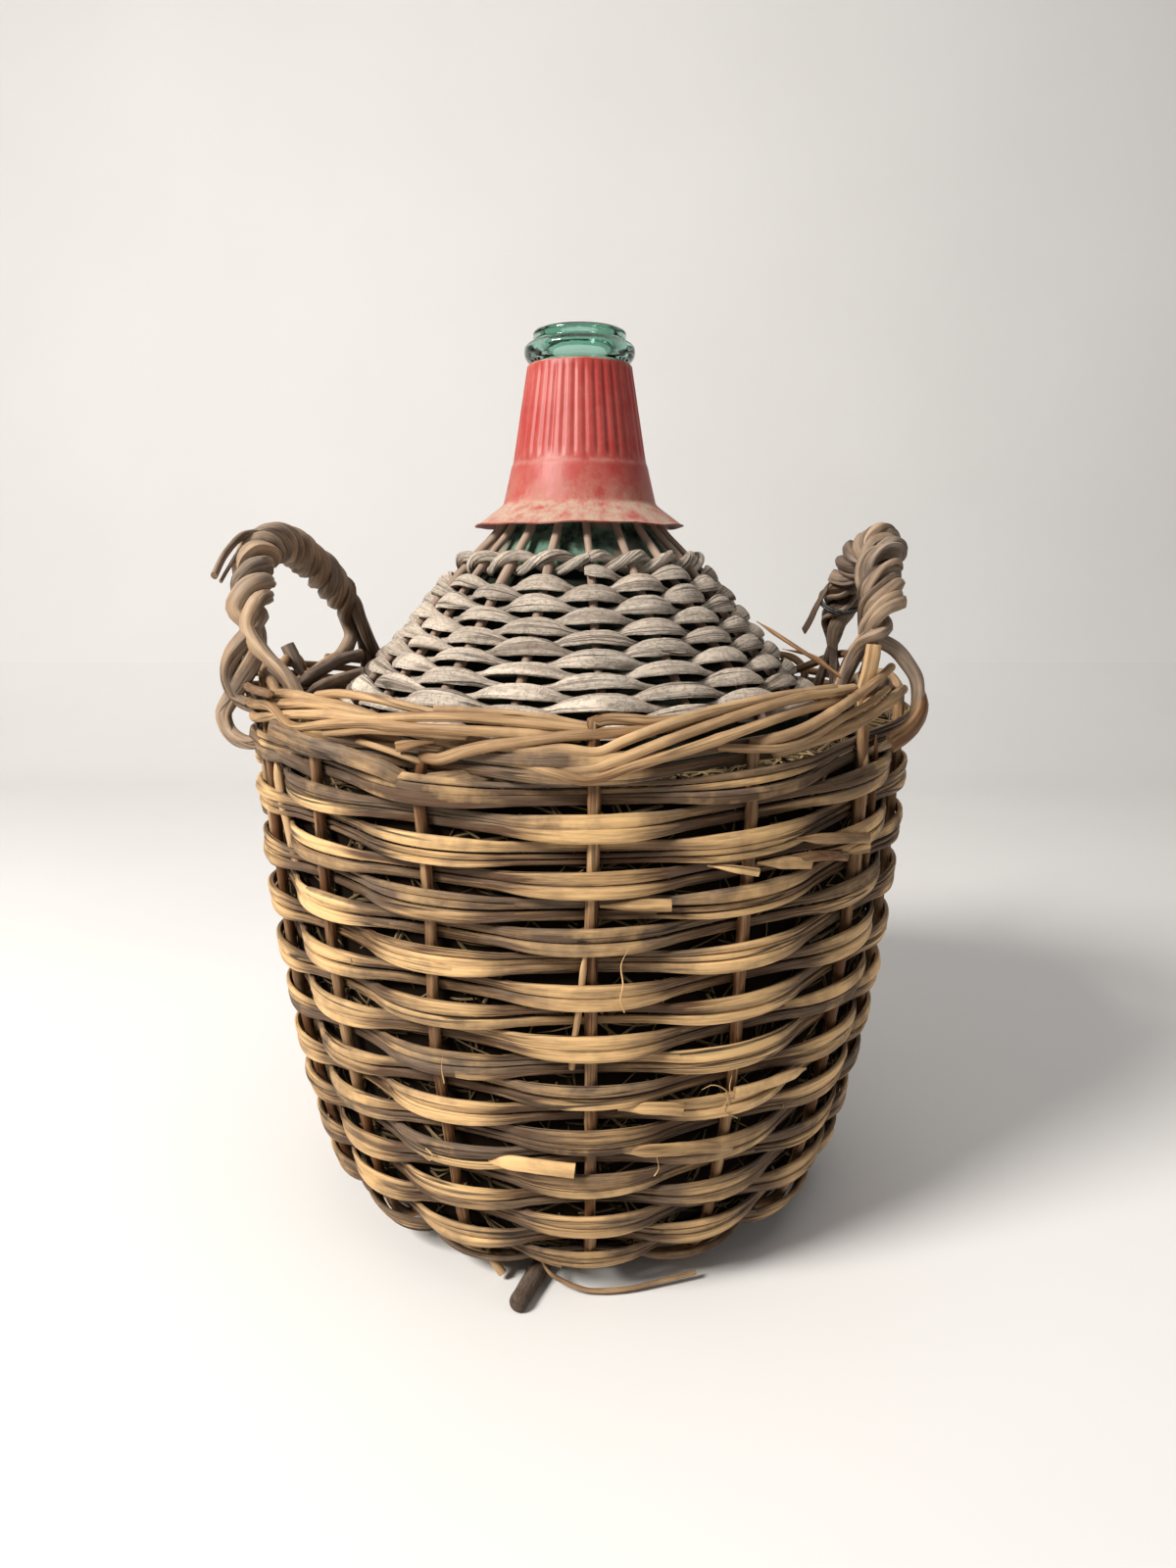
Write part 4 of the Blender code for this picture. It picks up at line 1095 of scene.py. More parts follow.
def turned_shape(name, profile, sides, finish):
    """A ring at the profile's first point, extruded through the others. A radius of 0 closes it."""
    start_fresh()
    rings = [point for point in profile if point[0] > 0]
    radius, height = rings[0]
    bpy.ops.mesh.primitive_circle_add(
        vertices=sides, radius=radius, location=(0, 0, height), rotation=(0, 0, math.pi / sides),
        fill_type="TRIFAN" if profile[0][0] == 0 else "NOTHING",
    )
    piece = bpy.context.object
    bpy.ops.object.transform_apply(location=True, rotation=True, scale=True)
    bpy.ops.object.mode_set(mode="EDIT")
    if profile[0][0] == 0:
        bpy.ops.mesh.select_all(action="DESELECT")
        bpy.ops.mesh.select_non_manifold()
    for out, up in rings[1:]:
        extrude((0, 0, up - height))
        bpy.ops.transform.resize(value=(out / radius, out / radius, 1), center_override=(0, 0, up))
        radius, height = out, up
    if profile[-1][0] == 0:
        extrude((0, 0, profile[-1][1] - height))
        bpy.ops.mesh.merge(type="CENTER")
    elif profile[0] == profile[-1]:
        bpy.ops.mesh.select_all(action="SELECT")
        bpy.ops.mesh.remove_doubles(threshold=0.000001)
    bpy.ops.mesh.select_all(action="SELECT")
    bpy.ops.mesh.normals_make_consistent(inside=False)
    bpy.ops.object.mode_set(mode="OBJECT")
    piece.name = piece.data.name = name
    piece.data.materials.append(finish)
    return piece


def smooth_piece(piece, degrees):
    pick(piece)
    bpy.ops.object.shade_smooth_by_angle(angle=math.radians(degrees))


def bearing(point):
    """The angle of a point, from the front towards the right."""
    return math.atan2(point.x, -point.y)


def rounded(points, radius, steps):
    """Rounds the corners of a line of (radius, height) points."""
    points = [np.array(point, float) for point in points]
    result = [tuple(points[0])]
    for before, corner, after in zip(points, points[1:], points[2:]):
        reach = min(radius, 0.45 * np.linalg.norm(before - corner), 0.45 * np.linalg.norm(after - corner))
        first = corner + reach * unit(before - corner)
        last = corner + reach * unit(after - corner)
        for step in range(steps + 1):
            t = step / steps
            result.append(tuple((1 - t) ** 2 * first + 2 * t * (1 - t) * corner + t**2 * last))
    return result + [tuple(points[-1])]


def sizes_of(context):
    return context.scene.wicker_bottle


class WICKER_OT_glass(Operator):
    """Turns the glass bottle, with its punt, ring and lip."""

    bl_idname = "wicker.glass_bottle"
    bl_label = "Glass bottle"

    def execute(self, context):
        sides = sizes_of(context).bottle.glass_sides
        outside = [tuple(point) for point in even(glass_outline.line, 0.006)]
        ring_low, ring_high = neck_top_level, neck_top_level + ring_height
        step = (ring_radius - neck_radius) / 2
        mouth = [
            outside[-1], (neck_radius + step, ring_low + ring_height / 10),
            (ring_radius, ring_low + 0.38 * ring_height), (ring_radius, ring_high - 0.25 * ring_height),
            (neck_radius + step, ring_high - ring_height / 16), (lip_radius - 0.0005, ring_high + 0.0003),
            (lip_radius, ring_high + 0.45 * lip_height), (lip_radius, lip_top_level - 0.0012),
            (lip_radius - 0.0018, lip_top_level), (neck_bore_radius + 0.0016, lip_top_level),
            (neck_bore_radius, lip_top_level - 0.0016),
        ]
        inside = []
        thick = neck_radius - neck_bore_radius
        for point, normal in zip(glass_outline.line[::-6], glass_outline.normals[::-6]):
            share = min(max((point[1] - neck_level) / neck_height, 0.0), 1.0)
            inside.append(tuple(point - (glass_wall + share * (thick - glass_wall)) * normal))
        punt = [(0.0, foot_level + punt_height), (0.05, foot_level + 0.6 * punt_height)]
        profile = punt + outside + rounded(mouth, 0.0028, 5)[1:] + inside
        profile += [(radius, level + glass_wall) for radius, level in reversed(punt)]
        piece = turned_shape("bottle_glass", profile, sides, finishes.glass)
        smooth_piece(piece, 60)
        settle(piece, "bottle", "green_glass", "glass_bottle")
        self.dust_and_shade_film()
        return {"FINISHED"}

    def dust_and_shade_film(self):
        """A film stuck to the glass under the cover, up to the collar: caked dust where it shows above the
        weave, and painted shade under the weave.
        """
        low, high, sides = straw_high.z - 0.008, collar_low.z + 0.004, 96
        line = [(point, normal) for point, normal in zip(glass_outline.line[::5], glass_outline.normals[::5])
                if low < point[1] < high]
        outside = [tuple(point + 0.0004 * normal) for point, normal in line]
        inside = [tuple(point + 0.0002 * normal) for point, normal in reversed(line)]
        piece = turned_shape("glass_dust_and_shade", outside + inside + outside[:1], sides, finishes.dust_and_shade_film)
        smooth_piece(piece, 60)
        settle(piece, "bottle", "grey_willow_strip")


class WICKER_OT_collar(Operator):
    """Turns the neck collar, cuts its ribs and waves its brim."""

    bl_idname = "wicker.neck_collar"
    bl_label = "Neck collar"

    def execute(self, context):
        sizes = sizes_of(context).bottle
        sides = sizes.collar_ribs * points_per_rib
        top, low, sleeve = collar_high.z, collar_low.z, collar_sleeve_level
        brim = collar_high.x
        outside = [
            (collar_mouth_radius, top - 0.0004), (collar_top_radius, top - 0.0010),
            (collar_sleeve_radius, sleeve), (collar_ledge_radius - 0.0006, sleeve - 0.0022),
            (collar_ledge_radius, sleeve - 0.0050), (collar_skirt_radius, low + 0.0124),
            (brim - 0.0016, low + 0.0011), (brim, low + 0.0007),
        ]
        inside = [
            (brim - 0.0004, low), (brim - 0.0022, low + 0.0002),
            (collar_skirt_radius - 0.0016, low + 0.0118),
            (collar_ledge_radius - collar_wall, sleeve - 0.0054),
            (collar_sleeve_radius - collar_wall, sleeve - 0.0030),
            (collar_mouth_radius - 0.0005, top - 0.0010), (collar_mouth_radius, top - 0.0004),
        ]
        line = rounded(outside, 0.0016, 3)
        dense = []
        for first, last in zip(line, line[1:]):
            pieces = max(int(math.dist(first, last) / 0.003), 1)
            dense += [tuple(np.array(first) + (np.array(last) - first) * k / pieces) for k in range(pieces)]
        piece = turned_shape("collar_shell", dense + [line[-1]] + inside, sides, finishes.collar)
        self.cut_ribs(piece, sizes)
        self.wave_brim(piece)
        smooth_piece(piece, 55)
        settle(piece, "collar", "red_plastic", "neck_collar")
        return {"FINISHED"}

    def cut_ribs(self, piece, sizes):
        """Pulls the line between every two ribs inwards over the sleeve."""
        pick(piece)
        deselect_mesh("VERT")
        low, high = collar_sleeve_level, collar_high.z
        middle_radius = 0.031
        for corner in piece.data.vertices:
            radius = math.hypot(corner.co.x, corner.co.y)
            share = (high - corner.co.z) / (high - low)
            surface = collar_top_radius + share * (collar_sleeve_radius - collar_top_radius)
            on_sleeve = low + 0.0012 < corner.co.z < high - 0.0018 and radius > surface - collar_wall / 2
            place = bearing(corner.co) / (TAU / sizes.collar_ribs)
            corner.select = on_sleeve and abs(place - math.floor(place) - 0.5) < 0.6 / points_per_rib
        bpy.ops.object.mode_set(mode="EDIT")
        share = 1 - sizes.rib_depth / middle_radius
        bpy.ops.transform.resize(value=(share, share, 1), center_override=(0, 0, 0))
        bpy.ops.object.mode_set(mode="OBJECT")

    def wave_brim(self, piece):
        """The thin brim has warped a little with age."""
        reach = 0.0105
        for corner in piece.data.vertices:
            angle = bearing(corner.co)
            share = float(smooth((collar_low.z + reach - corner.co.z) / reach))
            wave = 0.0003 * math.sin(5 * angle + 0.8) + 0.00025 * math.sin(11 * angle + 2.0)
            corner.co.z += share * (wave + 0.0004)
            corner.co.xy *= 1 + share * 0.005 * math.sin(3 * angle + 1.0)


def cover_angle(step):
    return TAU * (np.asarray(step, float) + 0.25) / cover_stakes


class WICKER_OT_cover_rods(Operator):
    """Lays the thin willow rods down the shoulder, bare under the collar's brim."""

    bl_idname = "wicker.cover_rods"
    bl_label = "Cover rods"

    def execute(self, context):
        radius = sizes_of(context).bottle.cover_rod_radius
        weave_length = cover_pitch * sum(cover_rounds)
        foot = shoulder_top - cover_twist_drop - cover_weave_drop - weave_length - cover_foot_tuck
        marks = np.linspace(foot, shoulder_top + cover_tip_length, 26)
        bare = np.clip((marks - shoulder_top) / cover_tip_length, 0, 1)
        out, up = glass_outline.at(marks, cover_reach - cover_tip_lean * bare)
        for index in range(cover_stakes):
            loft = Loft(100 + index)
            chance = loft.chance
            sway = 0.010 * chance.normal() * bare
            route = turned(cover_angle(index) + sway + drift(chance, marks, 0.03, 0.006), out, up)
            # Each rod is painted dark at its foot and light at its bare tip: painted shade low down under
            # the border.
            loft.rod(route, radius * chance.uniform(0.88, 1.12), start=turned(cover_angle(index), 1.0, 0.0),
                     taper=0.9, shade=(0.1, chance.uniform(0.7, 1.0)), grey=(0.0, chance.uniform(0.0, 0.3)),
                     sides=9, steps=3)
            piece = loft.finish(f"cover_rod_{index + 1:02d}", finishes.cover_rod)
            settle(piece, "bottle", "grey_willow_rod", f"cover_stake_{index + 1:02d}")
        return {"FINISHED"}


class WICKER_OT_cover_weave(Operator):
    """Weaves the flattened willow in front of one rod and behind the next, round the shoulder."""

    bl_idname = "wicker.cover_weave"
    bl_label = "Cover weave"

    def execute(self, context):
        sizes = sizes_of(context).bottle
        top = shoulder_top - cover_twist_drop - cover_weave_drop
        start = 0
        for number, rounds in enumerate(cover_rounds, start=1):
            loft = Loft(200 + number)
            end = start + rounds * cover_stakes
            first = start + (1.0 if start % 2 == 0 else 0.0) if number > 1 else 0.4
            last = end + (1.0 if end % 2 == 0 else 0.0) if number < len(cover_rounds) else end
            while first < last - 1:
                after = first + int(loft.chance.choice([8, 10, 12, 14, 16]))
                if last - after < 6:
                    after = last
                self.strip(loft, top, first - 0.55, min(after, last) + 0.55, sizes)
                first = after
            piece = loft.finish(f"cover_weave_{number}", finishes.cover_strip)
            settle(piece, "bottle", "grey_willow_strip", f"cover_weaver_{number}")
            start = end
        return {"FINISHED"}

    def strip(self, loft, top, first, last, sizes):
        """A flattened rod, broad over the rods that it passes in front of and narrow behind the others."""
        chance = loft.chance
        step = np.arange(first, last, 1 / 12)
        swing = np.cos(math.pi * step)
        along = step * 0.035
        row = top - cover_pitch * (0.5 + step / cover_stakes) + drift(chance, along, 0.05, 0.00035)
        reach = sizes.cover_rod_radius + cover_gap + sizes.cover_strip_depth / 2
        offset = np.sign(swing) * np.abs(swing) ** 0.75 * reach
        front = smooth((swing + 0.30) / 1.25)
        width = sizes.cover_strip_width * (0.50 + 0.50 * front) * uneven(chance, along, 0.02, 0.07)
        width = ends_narrowed(width, (0.55, 0.75, 0.9), (0.9, 0.75, 0.5))
        depth = sizes.cover_strip_depth * uneven(chance, along, 0.02, 0.08)
        out, up = glass_outline.at(row, cover_reach + offset)
        angle, normal, section = cover_angle(step), glass_outline.normal(row), lens_section(18)
        groove = grooved(chance, along, len(section), [2, 3, 4, 5, 6, 7], 3, 0.016, 0.13, 0.0, 0.24, 0.018)
        loft.add(turned(angle, out, up), turned(angle, *normal), section, width, depth,
                 drift(chance, along, 0.04, 0.12) - 0.10,
                 toned(chance, chance.uniform(0.35, 0.8), along, 0.03, 0.12),
                 toned(chance, chance.uniform(0.3, 0.7), along, 0.04, 0.2), groove)


class WICKER_OT_cover_twist(Operator):
    """Twists two rods about each other round every bare rod, as the ring above the weave."""

    bl_idname = "wicker.cover_twist"
    bl_label = "Cover twist"

    def execute(self, context):
        radius = sizes_of(context).bottle.cover_rod_radius
        top = shoulder_top - cover_twist_drop
        half = np.arange(0, 2 * cover_stakes, 0.2)
        angle, along = cover_angle(half / 2), half * 0.009
        outward = turned(angle, *glass_outline.normal(top))
        for number in (0, 1):
            loft = Loft(300 + number)
            chance = loft.chance
            phase = math.pi * (half / 2 + number)
            for strand in range(3):
                wind = phase + TAU * strand / 3 + 0.3
                rise = 0.0026 * np.sin(phase) + 0.0017 * np.sin(wind)
                reach = (radius + 0.0024) * np.cos(phase) + 0.0013 * np.cos(wind)
                line = turned(angle, *glass_outline.at(top - 0.0002 + rise, cover_reach + reach))
                width = 0.0036 * uneven(chance, along, 0.02, 0.10)
                loft.add(line, outward, split_section(10, 0.95), width, 0.0026, -wind,
                         toned(chance, 0.6, along, 0.03, 0.15), toned(chance, 0.4, along, 0.03, 0.2),
                         closed=True)
            piece = loft.finish(f"cover_twist_{number + 1}", finishes.cover_strip)
            settle(piece, "bottle", "grey_willow_rod", f"cover_pairing_rod_{number + 1}")
        return {"FINISHED"}


class WICKER_OT_straw(Operator):
    """Packs straw between the basket and the glass, with loose stalks over it."""

    bl_idname = "wicker.straw_packing"
    bl_label = "Straw packing"

    def execute(self, context):
        low, high = straw_low.z, straw_high.z
        marks = np.linspace(wall_outline.where_height(low + 0.004), wall_outline.where_height(high), 26)
        out, up = wall_outline.at(marks, -straw_room)
        edge = body_radius + straw_inner_gap
        inside = [(edge, high), (edge - 0.0025, high - 0.012)]
        for point, normal in zip(glass_outline.line[::-8], glass_outline.normals[::-8]):
            if foot_level + 0.002 < point[1] < high - 0.022:
                inside.append(tuple(point + 0.0006 * normal))
        profile = [(0.0, low), (float(out[0]) - 0.010, low), *zip(out.tolist(), up.tolist()), *inside]
        profile += [(0.080, foot_level - 0.0005), (0.0, foot_level - 0.0005)]
        sides, rise_length = 96, 0.10
        piece = turned_shape("straw_bed", profile, sides, finishes.straw)
        for corner in piece.data.vertices:
            share = float(smooth((corner.co.z - high + rise_length) / rise_length))
            corner.co.z += rim_rise * share * math.sin(bearing(corner.co)) ** 2
        smooth_piece(piece, 70)
        settle(piece, "basket", "straw", "straw_packing")
        self.stalks(sizes_of(context).basket.stalks)
        return {"FINISHED"}

    def stalks(self, count):
        """Stalks between the bed and the wall, and half as many on top of the bed."""
        loft = Loft(400)
        chance = loft.chance
        t = np.linspace(-1, 1, 5)
        section = round_section(4)
        for _ in range(count):
            place = chance.uniform(0.01, wall_outline.length - 0.004)
            angle = chance.uniform(0, TAU)
            lean = chance.normal(0.0, 0.8)
            reach = chance.uniform(0.006, 0.020)
            bow = chance.uniform(0.0, 0.0024) * (1 - t**2)
            depth = straw_room - 0.0002 - bow - 0.0006 * t * chance.normal()
            radius = wall_outline.at(place)[0]
            out, up = wall_outline.at(place + reach * t * math.sin(lean), -depth)
            turn = angle + reach * t * math.cos(lean) / radius + chance.normal(0, 0.006) * t**2
            loft.add(on_basket(turn, out, up), turned(turn, 1.0, 0.0), section,
                     chance.uniform(0.0007, 0.0018), 0.0008, chance.uniform(-0.8, 0.8),
                     chance.uniform(0.1, 0.75), chance.uniform(0, 0.6))
        outermost = wall_outline.at(wall_outline.length)[0] - 0.022
        for _ in range(count // 2):
            angle = chance.uniform(0, TAU)
            lean = chance.uniform(0, math.pi)
            reach = chance.uniform(0.008, 0.024)
            radius = chance.uniform(body_radius + 0.016, outermost)
            out = np.clip(radius + 0.7 * reach * t * math.cos(lean), body_radius + 0.012, None)
            turn = angle + reach * t * math.sin(lean) / radius + chance.normal(0, 0.02) * t**2
            up = straw_high.z + 0.0006 + rim_rise * np.sin(turn) ** 2
            up += chance.uniform(0, 0.0022) * (1 - t**2)
            loft.add(turned(turn, out, up), (0, 0, 1), section, chance.uniform(0.0009, 0.0022), 0.0009,
                     chance.uniform(-0.8, 0.8), chance.uniform(0.15, 0.7), chance.uniform(0, 0.4))
        piece = loft.finish("straw_stalks", finishes.straw)
        settle(piece, "basket", "straw")


class WICKER_OT_base(Operator):
    """Lays the base: three barked sticks, the strip woven over them and the ring that it stands on."""

    bl_idname = "wicker.base"
    bl_label = "Base"

    def execute(self, context):
        self.sticks()
        self.weave()
        self.ring()
        return {"FINISHED"}

    def sticks(self):
        """Three sticks side by side, of which one is longer in front."""
        turn = math.radians(stick_degrees)
        along = np.array((-math.sin(turn), -math.cos(turn), 0.0))
        across = np.array((math.cos(turn), -math.sin(turn), 0.0))
        for number, side in enumerate(("left", "middle", "right")):
            loft = Loft(500 + number)
            front = stick_half_length + (long_stick_extra if side == "right" else 0.0)
            middle = across * stick_spacing * (number - 1) + np.array((0, 0, stick_radius))
            points = [middle + along * d for d in np.linspace(-stick_half_length, front, 9)]
            loft.rod(points, stick_radius, shade=0.5, grey=0.3, sides=16, wobble=0.07, spacing=0.0025)
            piece = loft.finish(f"base_stick_{side}", finishes.bark)
            settle(piece, "basket", "bark_stick", f"base_runner_{side}")

    def weave(self):
        """A flat strip woven outwards over and under the stakes' inner ends."""
        loft = Loft(510)
        rounds = int((wall_shares[0][0] * belly_radius - base_weave_start) / base_weave_pitch)
        step = np.arange(0, rounds * stake_count + 0.01, 1 / 8)
        radius = base_weave_start + base_weave_pitch * step / stake_count + base_weave_half_width
        line = turned(stake_angle(step), radius, base_level + base_weave_swing * np.cos(math.pi * step))
        outward = np.tile((0.0, 0.0, 1.0), (len(step), 1))
        along = step * 0.03
        loft.add(line, outward, split_section(12), 2 * base_weave_half_width, 0.0024,
                 drift(loft.chance, along, 0.05, 0.05), toned(loft.chance, 0.45, along, 0.05, 0.15), 0.5)
        piece = loft.finish("base_weave", finishes.splint)
        settle(piece, "basket", "tan_splint", "base_weaver")

    def ring(self):
        """The ring under the stakes' bend, which rises and thins over the long stick."""
        loft = Loft(511)
        angle = round_angles(150)
        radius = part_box("foot_ring")[1].x - 0.0030
        share = smooth(1 - np.abs(angle - math.radians(notch_degrees)) / notch_reach)
        line = turned(angle, radius, foot_ring_level + notch_rise * share)
        depth = foot_ring_depth * (1 - 0.35 * share)
        width = foot_ring_width * (1 - 0.62 * share)
        loft.add(line, turned(angle, 1.0, 0.0), split_section(12, 0.9), width, depth,
                 drift(loft.chance, angle, 0.3, 0.03), 0.4, 0.6, closed=True)
        piece = loft.finish("foot_ring_splint", finishes.splint)
        settle(piece, "basket", "tan_splint", "foot_ring")


class WICKER_OT_stakes(Operator):
    """Raises the stakes from the base, up the wall, and lays their ends round the rim as the border."""

    bl_idname = "wicker.side_stakes"
    bl_label = "Stakes and border"

    def execute(self, context):
        sizes = sizes_of(context).basket
        marks = np.linspace(0, wall_outline.length, 26)
        out, up = wall_outline.at(marks)
        for index in range(stake_count):
            loft = Loft(600 + index)
            chance = loft.chance
            angle = float(stake_angle(index))
            sway = drift(chance, marks, 0.07, 0.006) * np.minimum(1, marks / 0.02)
            wall = on_basket(angle + sway, out, up)
            base = turned(angle, np.linspace(spoke_start_radius, out[0] - 0.006, 6), base_level)
            route = np.array(border_route)
            route[1:, 2] += chance.normal(0, 0.10, len(route) - 1)
            if index in border_tails:
                own = np.array(border_tails[index])
                route = np.concatenate((route[route[:, 0] < own[0, 0] - 0.3], own))
            tail = border_points(route + (index, 0, 0))
            points = np.concatenate((base, wall[:-1], curve_through(tail, 8)))
            line = even(curve_through(points, 4), 0.0026)
            reach = distances(line)
            bend = reach[np.argmin(np.linalg.norm(line - tail[0], axis=1))]
            border = smooth((reach - bend + 0.01) / 0.03)
            thick = sizes.stake_radius + (sizes.border_radius - sizes.stake_radius) * border
            thick *= 1 - 0.14 * smooth((reach - bend) / (reach[-1] - bend)) * border
            thick *= uneven(chance, reach, 0.02, 0.035)
            for knot in np.arange(0.05, reach[-1], chance.uniform(0.06, 0.10)):
                thick *= 1 + chance.uniform(0.04, 0.14) * np.exp(-(((reach - knot) / 0.0028) ** 2))
            # The border ends of the stakes at the right and back (indices 2 to 8) are darker and greyer:
            # partly painted shade away from the light, partly weathering.
            lit_and_fresh = 0.20 if 2 <= index <= 8 else 0.46
            shade = toned(chance, 0.05 + (lit_and_fresh + 0.14) * border, reach, 0.05, 0.10)
            grey = toned(chance, 0.02 + (0.72 - lit_and_fresh) * border, reach, 0.04, 0.20)
            loft.add(line, carried(line, (0, 0, -1)), round_section(12), 2 * thick, 2 * thick, 0.0, shade,
                     grey, fluted(chance, reach, 12, 0.03), dome=True)
            piece = loft.finish(f"stake_rod_{index + 1:02d}", finishes.stake)
            settle(piece, "basket", "peeled_stake", f"side_stake_{index + 1:02d}")
        return {"FINISHED"}


class WICKER_OT_border_fillers(Operator):
    """Lays the short rods that fill the border between the stakes' ends."""

    bl_idname = "wicker.border_fillers"
    bl_label = "Border fillers"

    def execute(self, context):
        loft = Loft(650)
        for radius, route in border_fillers:
            loft.rod(border_points(np.array(route)), radius, taper=0.85, shade=(0.7, 0.85), grey=(0.3, 0.1),
                     sides=12, spacing=0.0024)
        piece = loft.finish("border_filler_rods", finishes.stake)
        settle(piece, "basket", "peeled_stake")
        return {"FINISHED"}


class WICKER_OT_side_weave(Operator):
    """Weaves pairs of split strips in front of one stake and behind the next, up the wall."""

    bl_idname = "wicker.side_weave"
    bl_label = "Side weave"

    def execute(self, context):
        sizes = sizes_of(context).basket
        pitch = (wall_outline.length - wall_foot_height) / sum(side_rounds)
        start = 0
        for number, rounds in enumerate(side_rounds, start=1):
            loft = Loft(700 + number)
            end = start + rounds * stake_count
            for lane in (-1, 1):
                first = start + (1 if start % 2 == 0 and start else 0)
                last = end + (1 if end % 2 == 0 else 0)
                while first < last - 0.5:
                    after = first + float(loft.chance.choice([8, 10, 12, 14, 16, 7.3, 9.4, 11.6]))
                    if last - after < 6:
                        after = last
                    self.strip(loft, pitch, lane, first - 0.45, after + 0.45, sizes)
                    first = after
            piece = loft.finish(f"side_weave_{number}", finishes.splint)
            settle(piece, "basket", "tan_splint", f"side_weaver_{number}")
            start = end
        return {"FINISHED"}

    def strip(self, loft, pitch, lane, first, last, sizes):
        """One splint of a pair, whole or split in two along its length."""
        chance = loft.chance
        step = np.arange(first, last, 1 / 12)
        swing = np.cos(math.pi * step)
        front = smooth((swing + 0.2) / 1.2)
        along = step * 0.07
        level = pitch * (0.5 + step / stake_count)
        width = sizes.strip_width * (0.86 + 0.24 * front) * uneven(chance, along, 0.05, 0.05)
        width *= chance.uniform(0.93, 1.07)
        row = wall_foot_height + level + lane * pitch * (0.215 + 0.055 * front)
        row += drift(chance, along, 0.10, 0.00040)
        depth = sizes.strip_depth * uneven(chance, along, 0.04, 0.08) * chance.uniform(0.85, 1.15)
        high = np.clip(row / wall_outline.length, 0, 1)
        top_rows = smooth((high - top_rows_share) / 0.05)
        # The top rows, under the border, are darker as painted shade and greyer as weathering.
        shade = chance.uniform(0.55, 1.08) * (0.82 + 0.18 * high) - 0.22 * top_rows
        grey = chance.choice([0.0, 0.05, 0.2, 0.7]) + 0.40 * (1 - smooth(high * 2.2)) + 0.45 * top_rows
        halves = ((-0.27, 0.50), (0.27, 0.46)) if chance.uniform() < 0.15 else ((0.0, 1.0),)
        for shift, share in halves:
            place = row + shift * width
            size = ends_narrowed(share * width * (0.90 + 0.10 * front), (0.6, 0.85, 0.95), (0.95, 0.85, 0.6))
            thick = depth * (1 if share == 1 else chance.uniform(0.8, 0.95))
            reach = sizes.stake_radius + weave_gap + thick / 2
            offset = np.sign(swing) * np.abs(swing) ** 0.8 * reach + 0.0004 * front * (1 + lane * 0.3)
            out, up = wall_outline.at(place, offset)
            angle, normal, section = stake_angle(step), wall_outline.normal(place), split_section(16, 0.8)
            groove = grooved(chance, along, len(section), [2, 3, 4, 5, 6], 2, 0.035, 0.16, 0.02, 0.34, 0.010)
            twist = chance.normal(0, 0.07) + drift(chance, along, 0.08, 0.10) - lane * 0.06 * front
            # Where a splint passes behind a stake its tone is darker and greyer: painted shade.
            loft.add(on_basket(angle, out, up), turned(angle, *normal), section, size, thick, twist,
                     toned(chance, shade - 0.72 * (1 - front), along, 0.07, 0.14),
                     toned(chance, grey + 0.25 * (1 - front), along, 0.06, 0.20), groove)


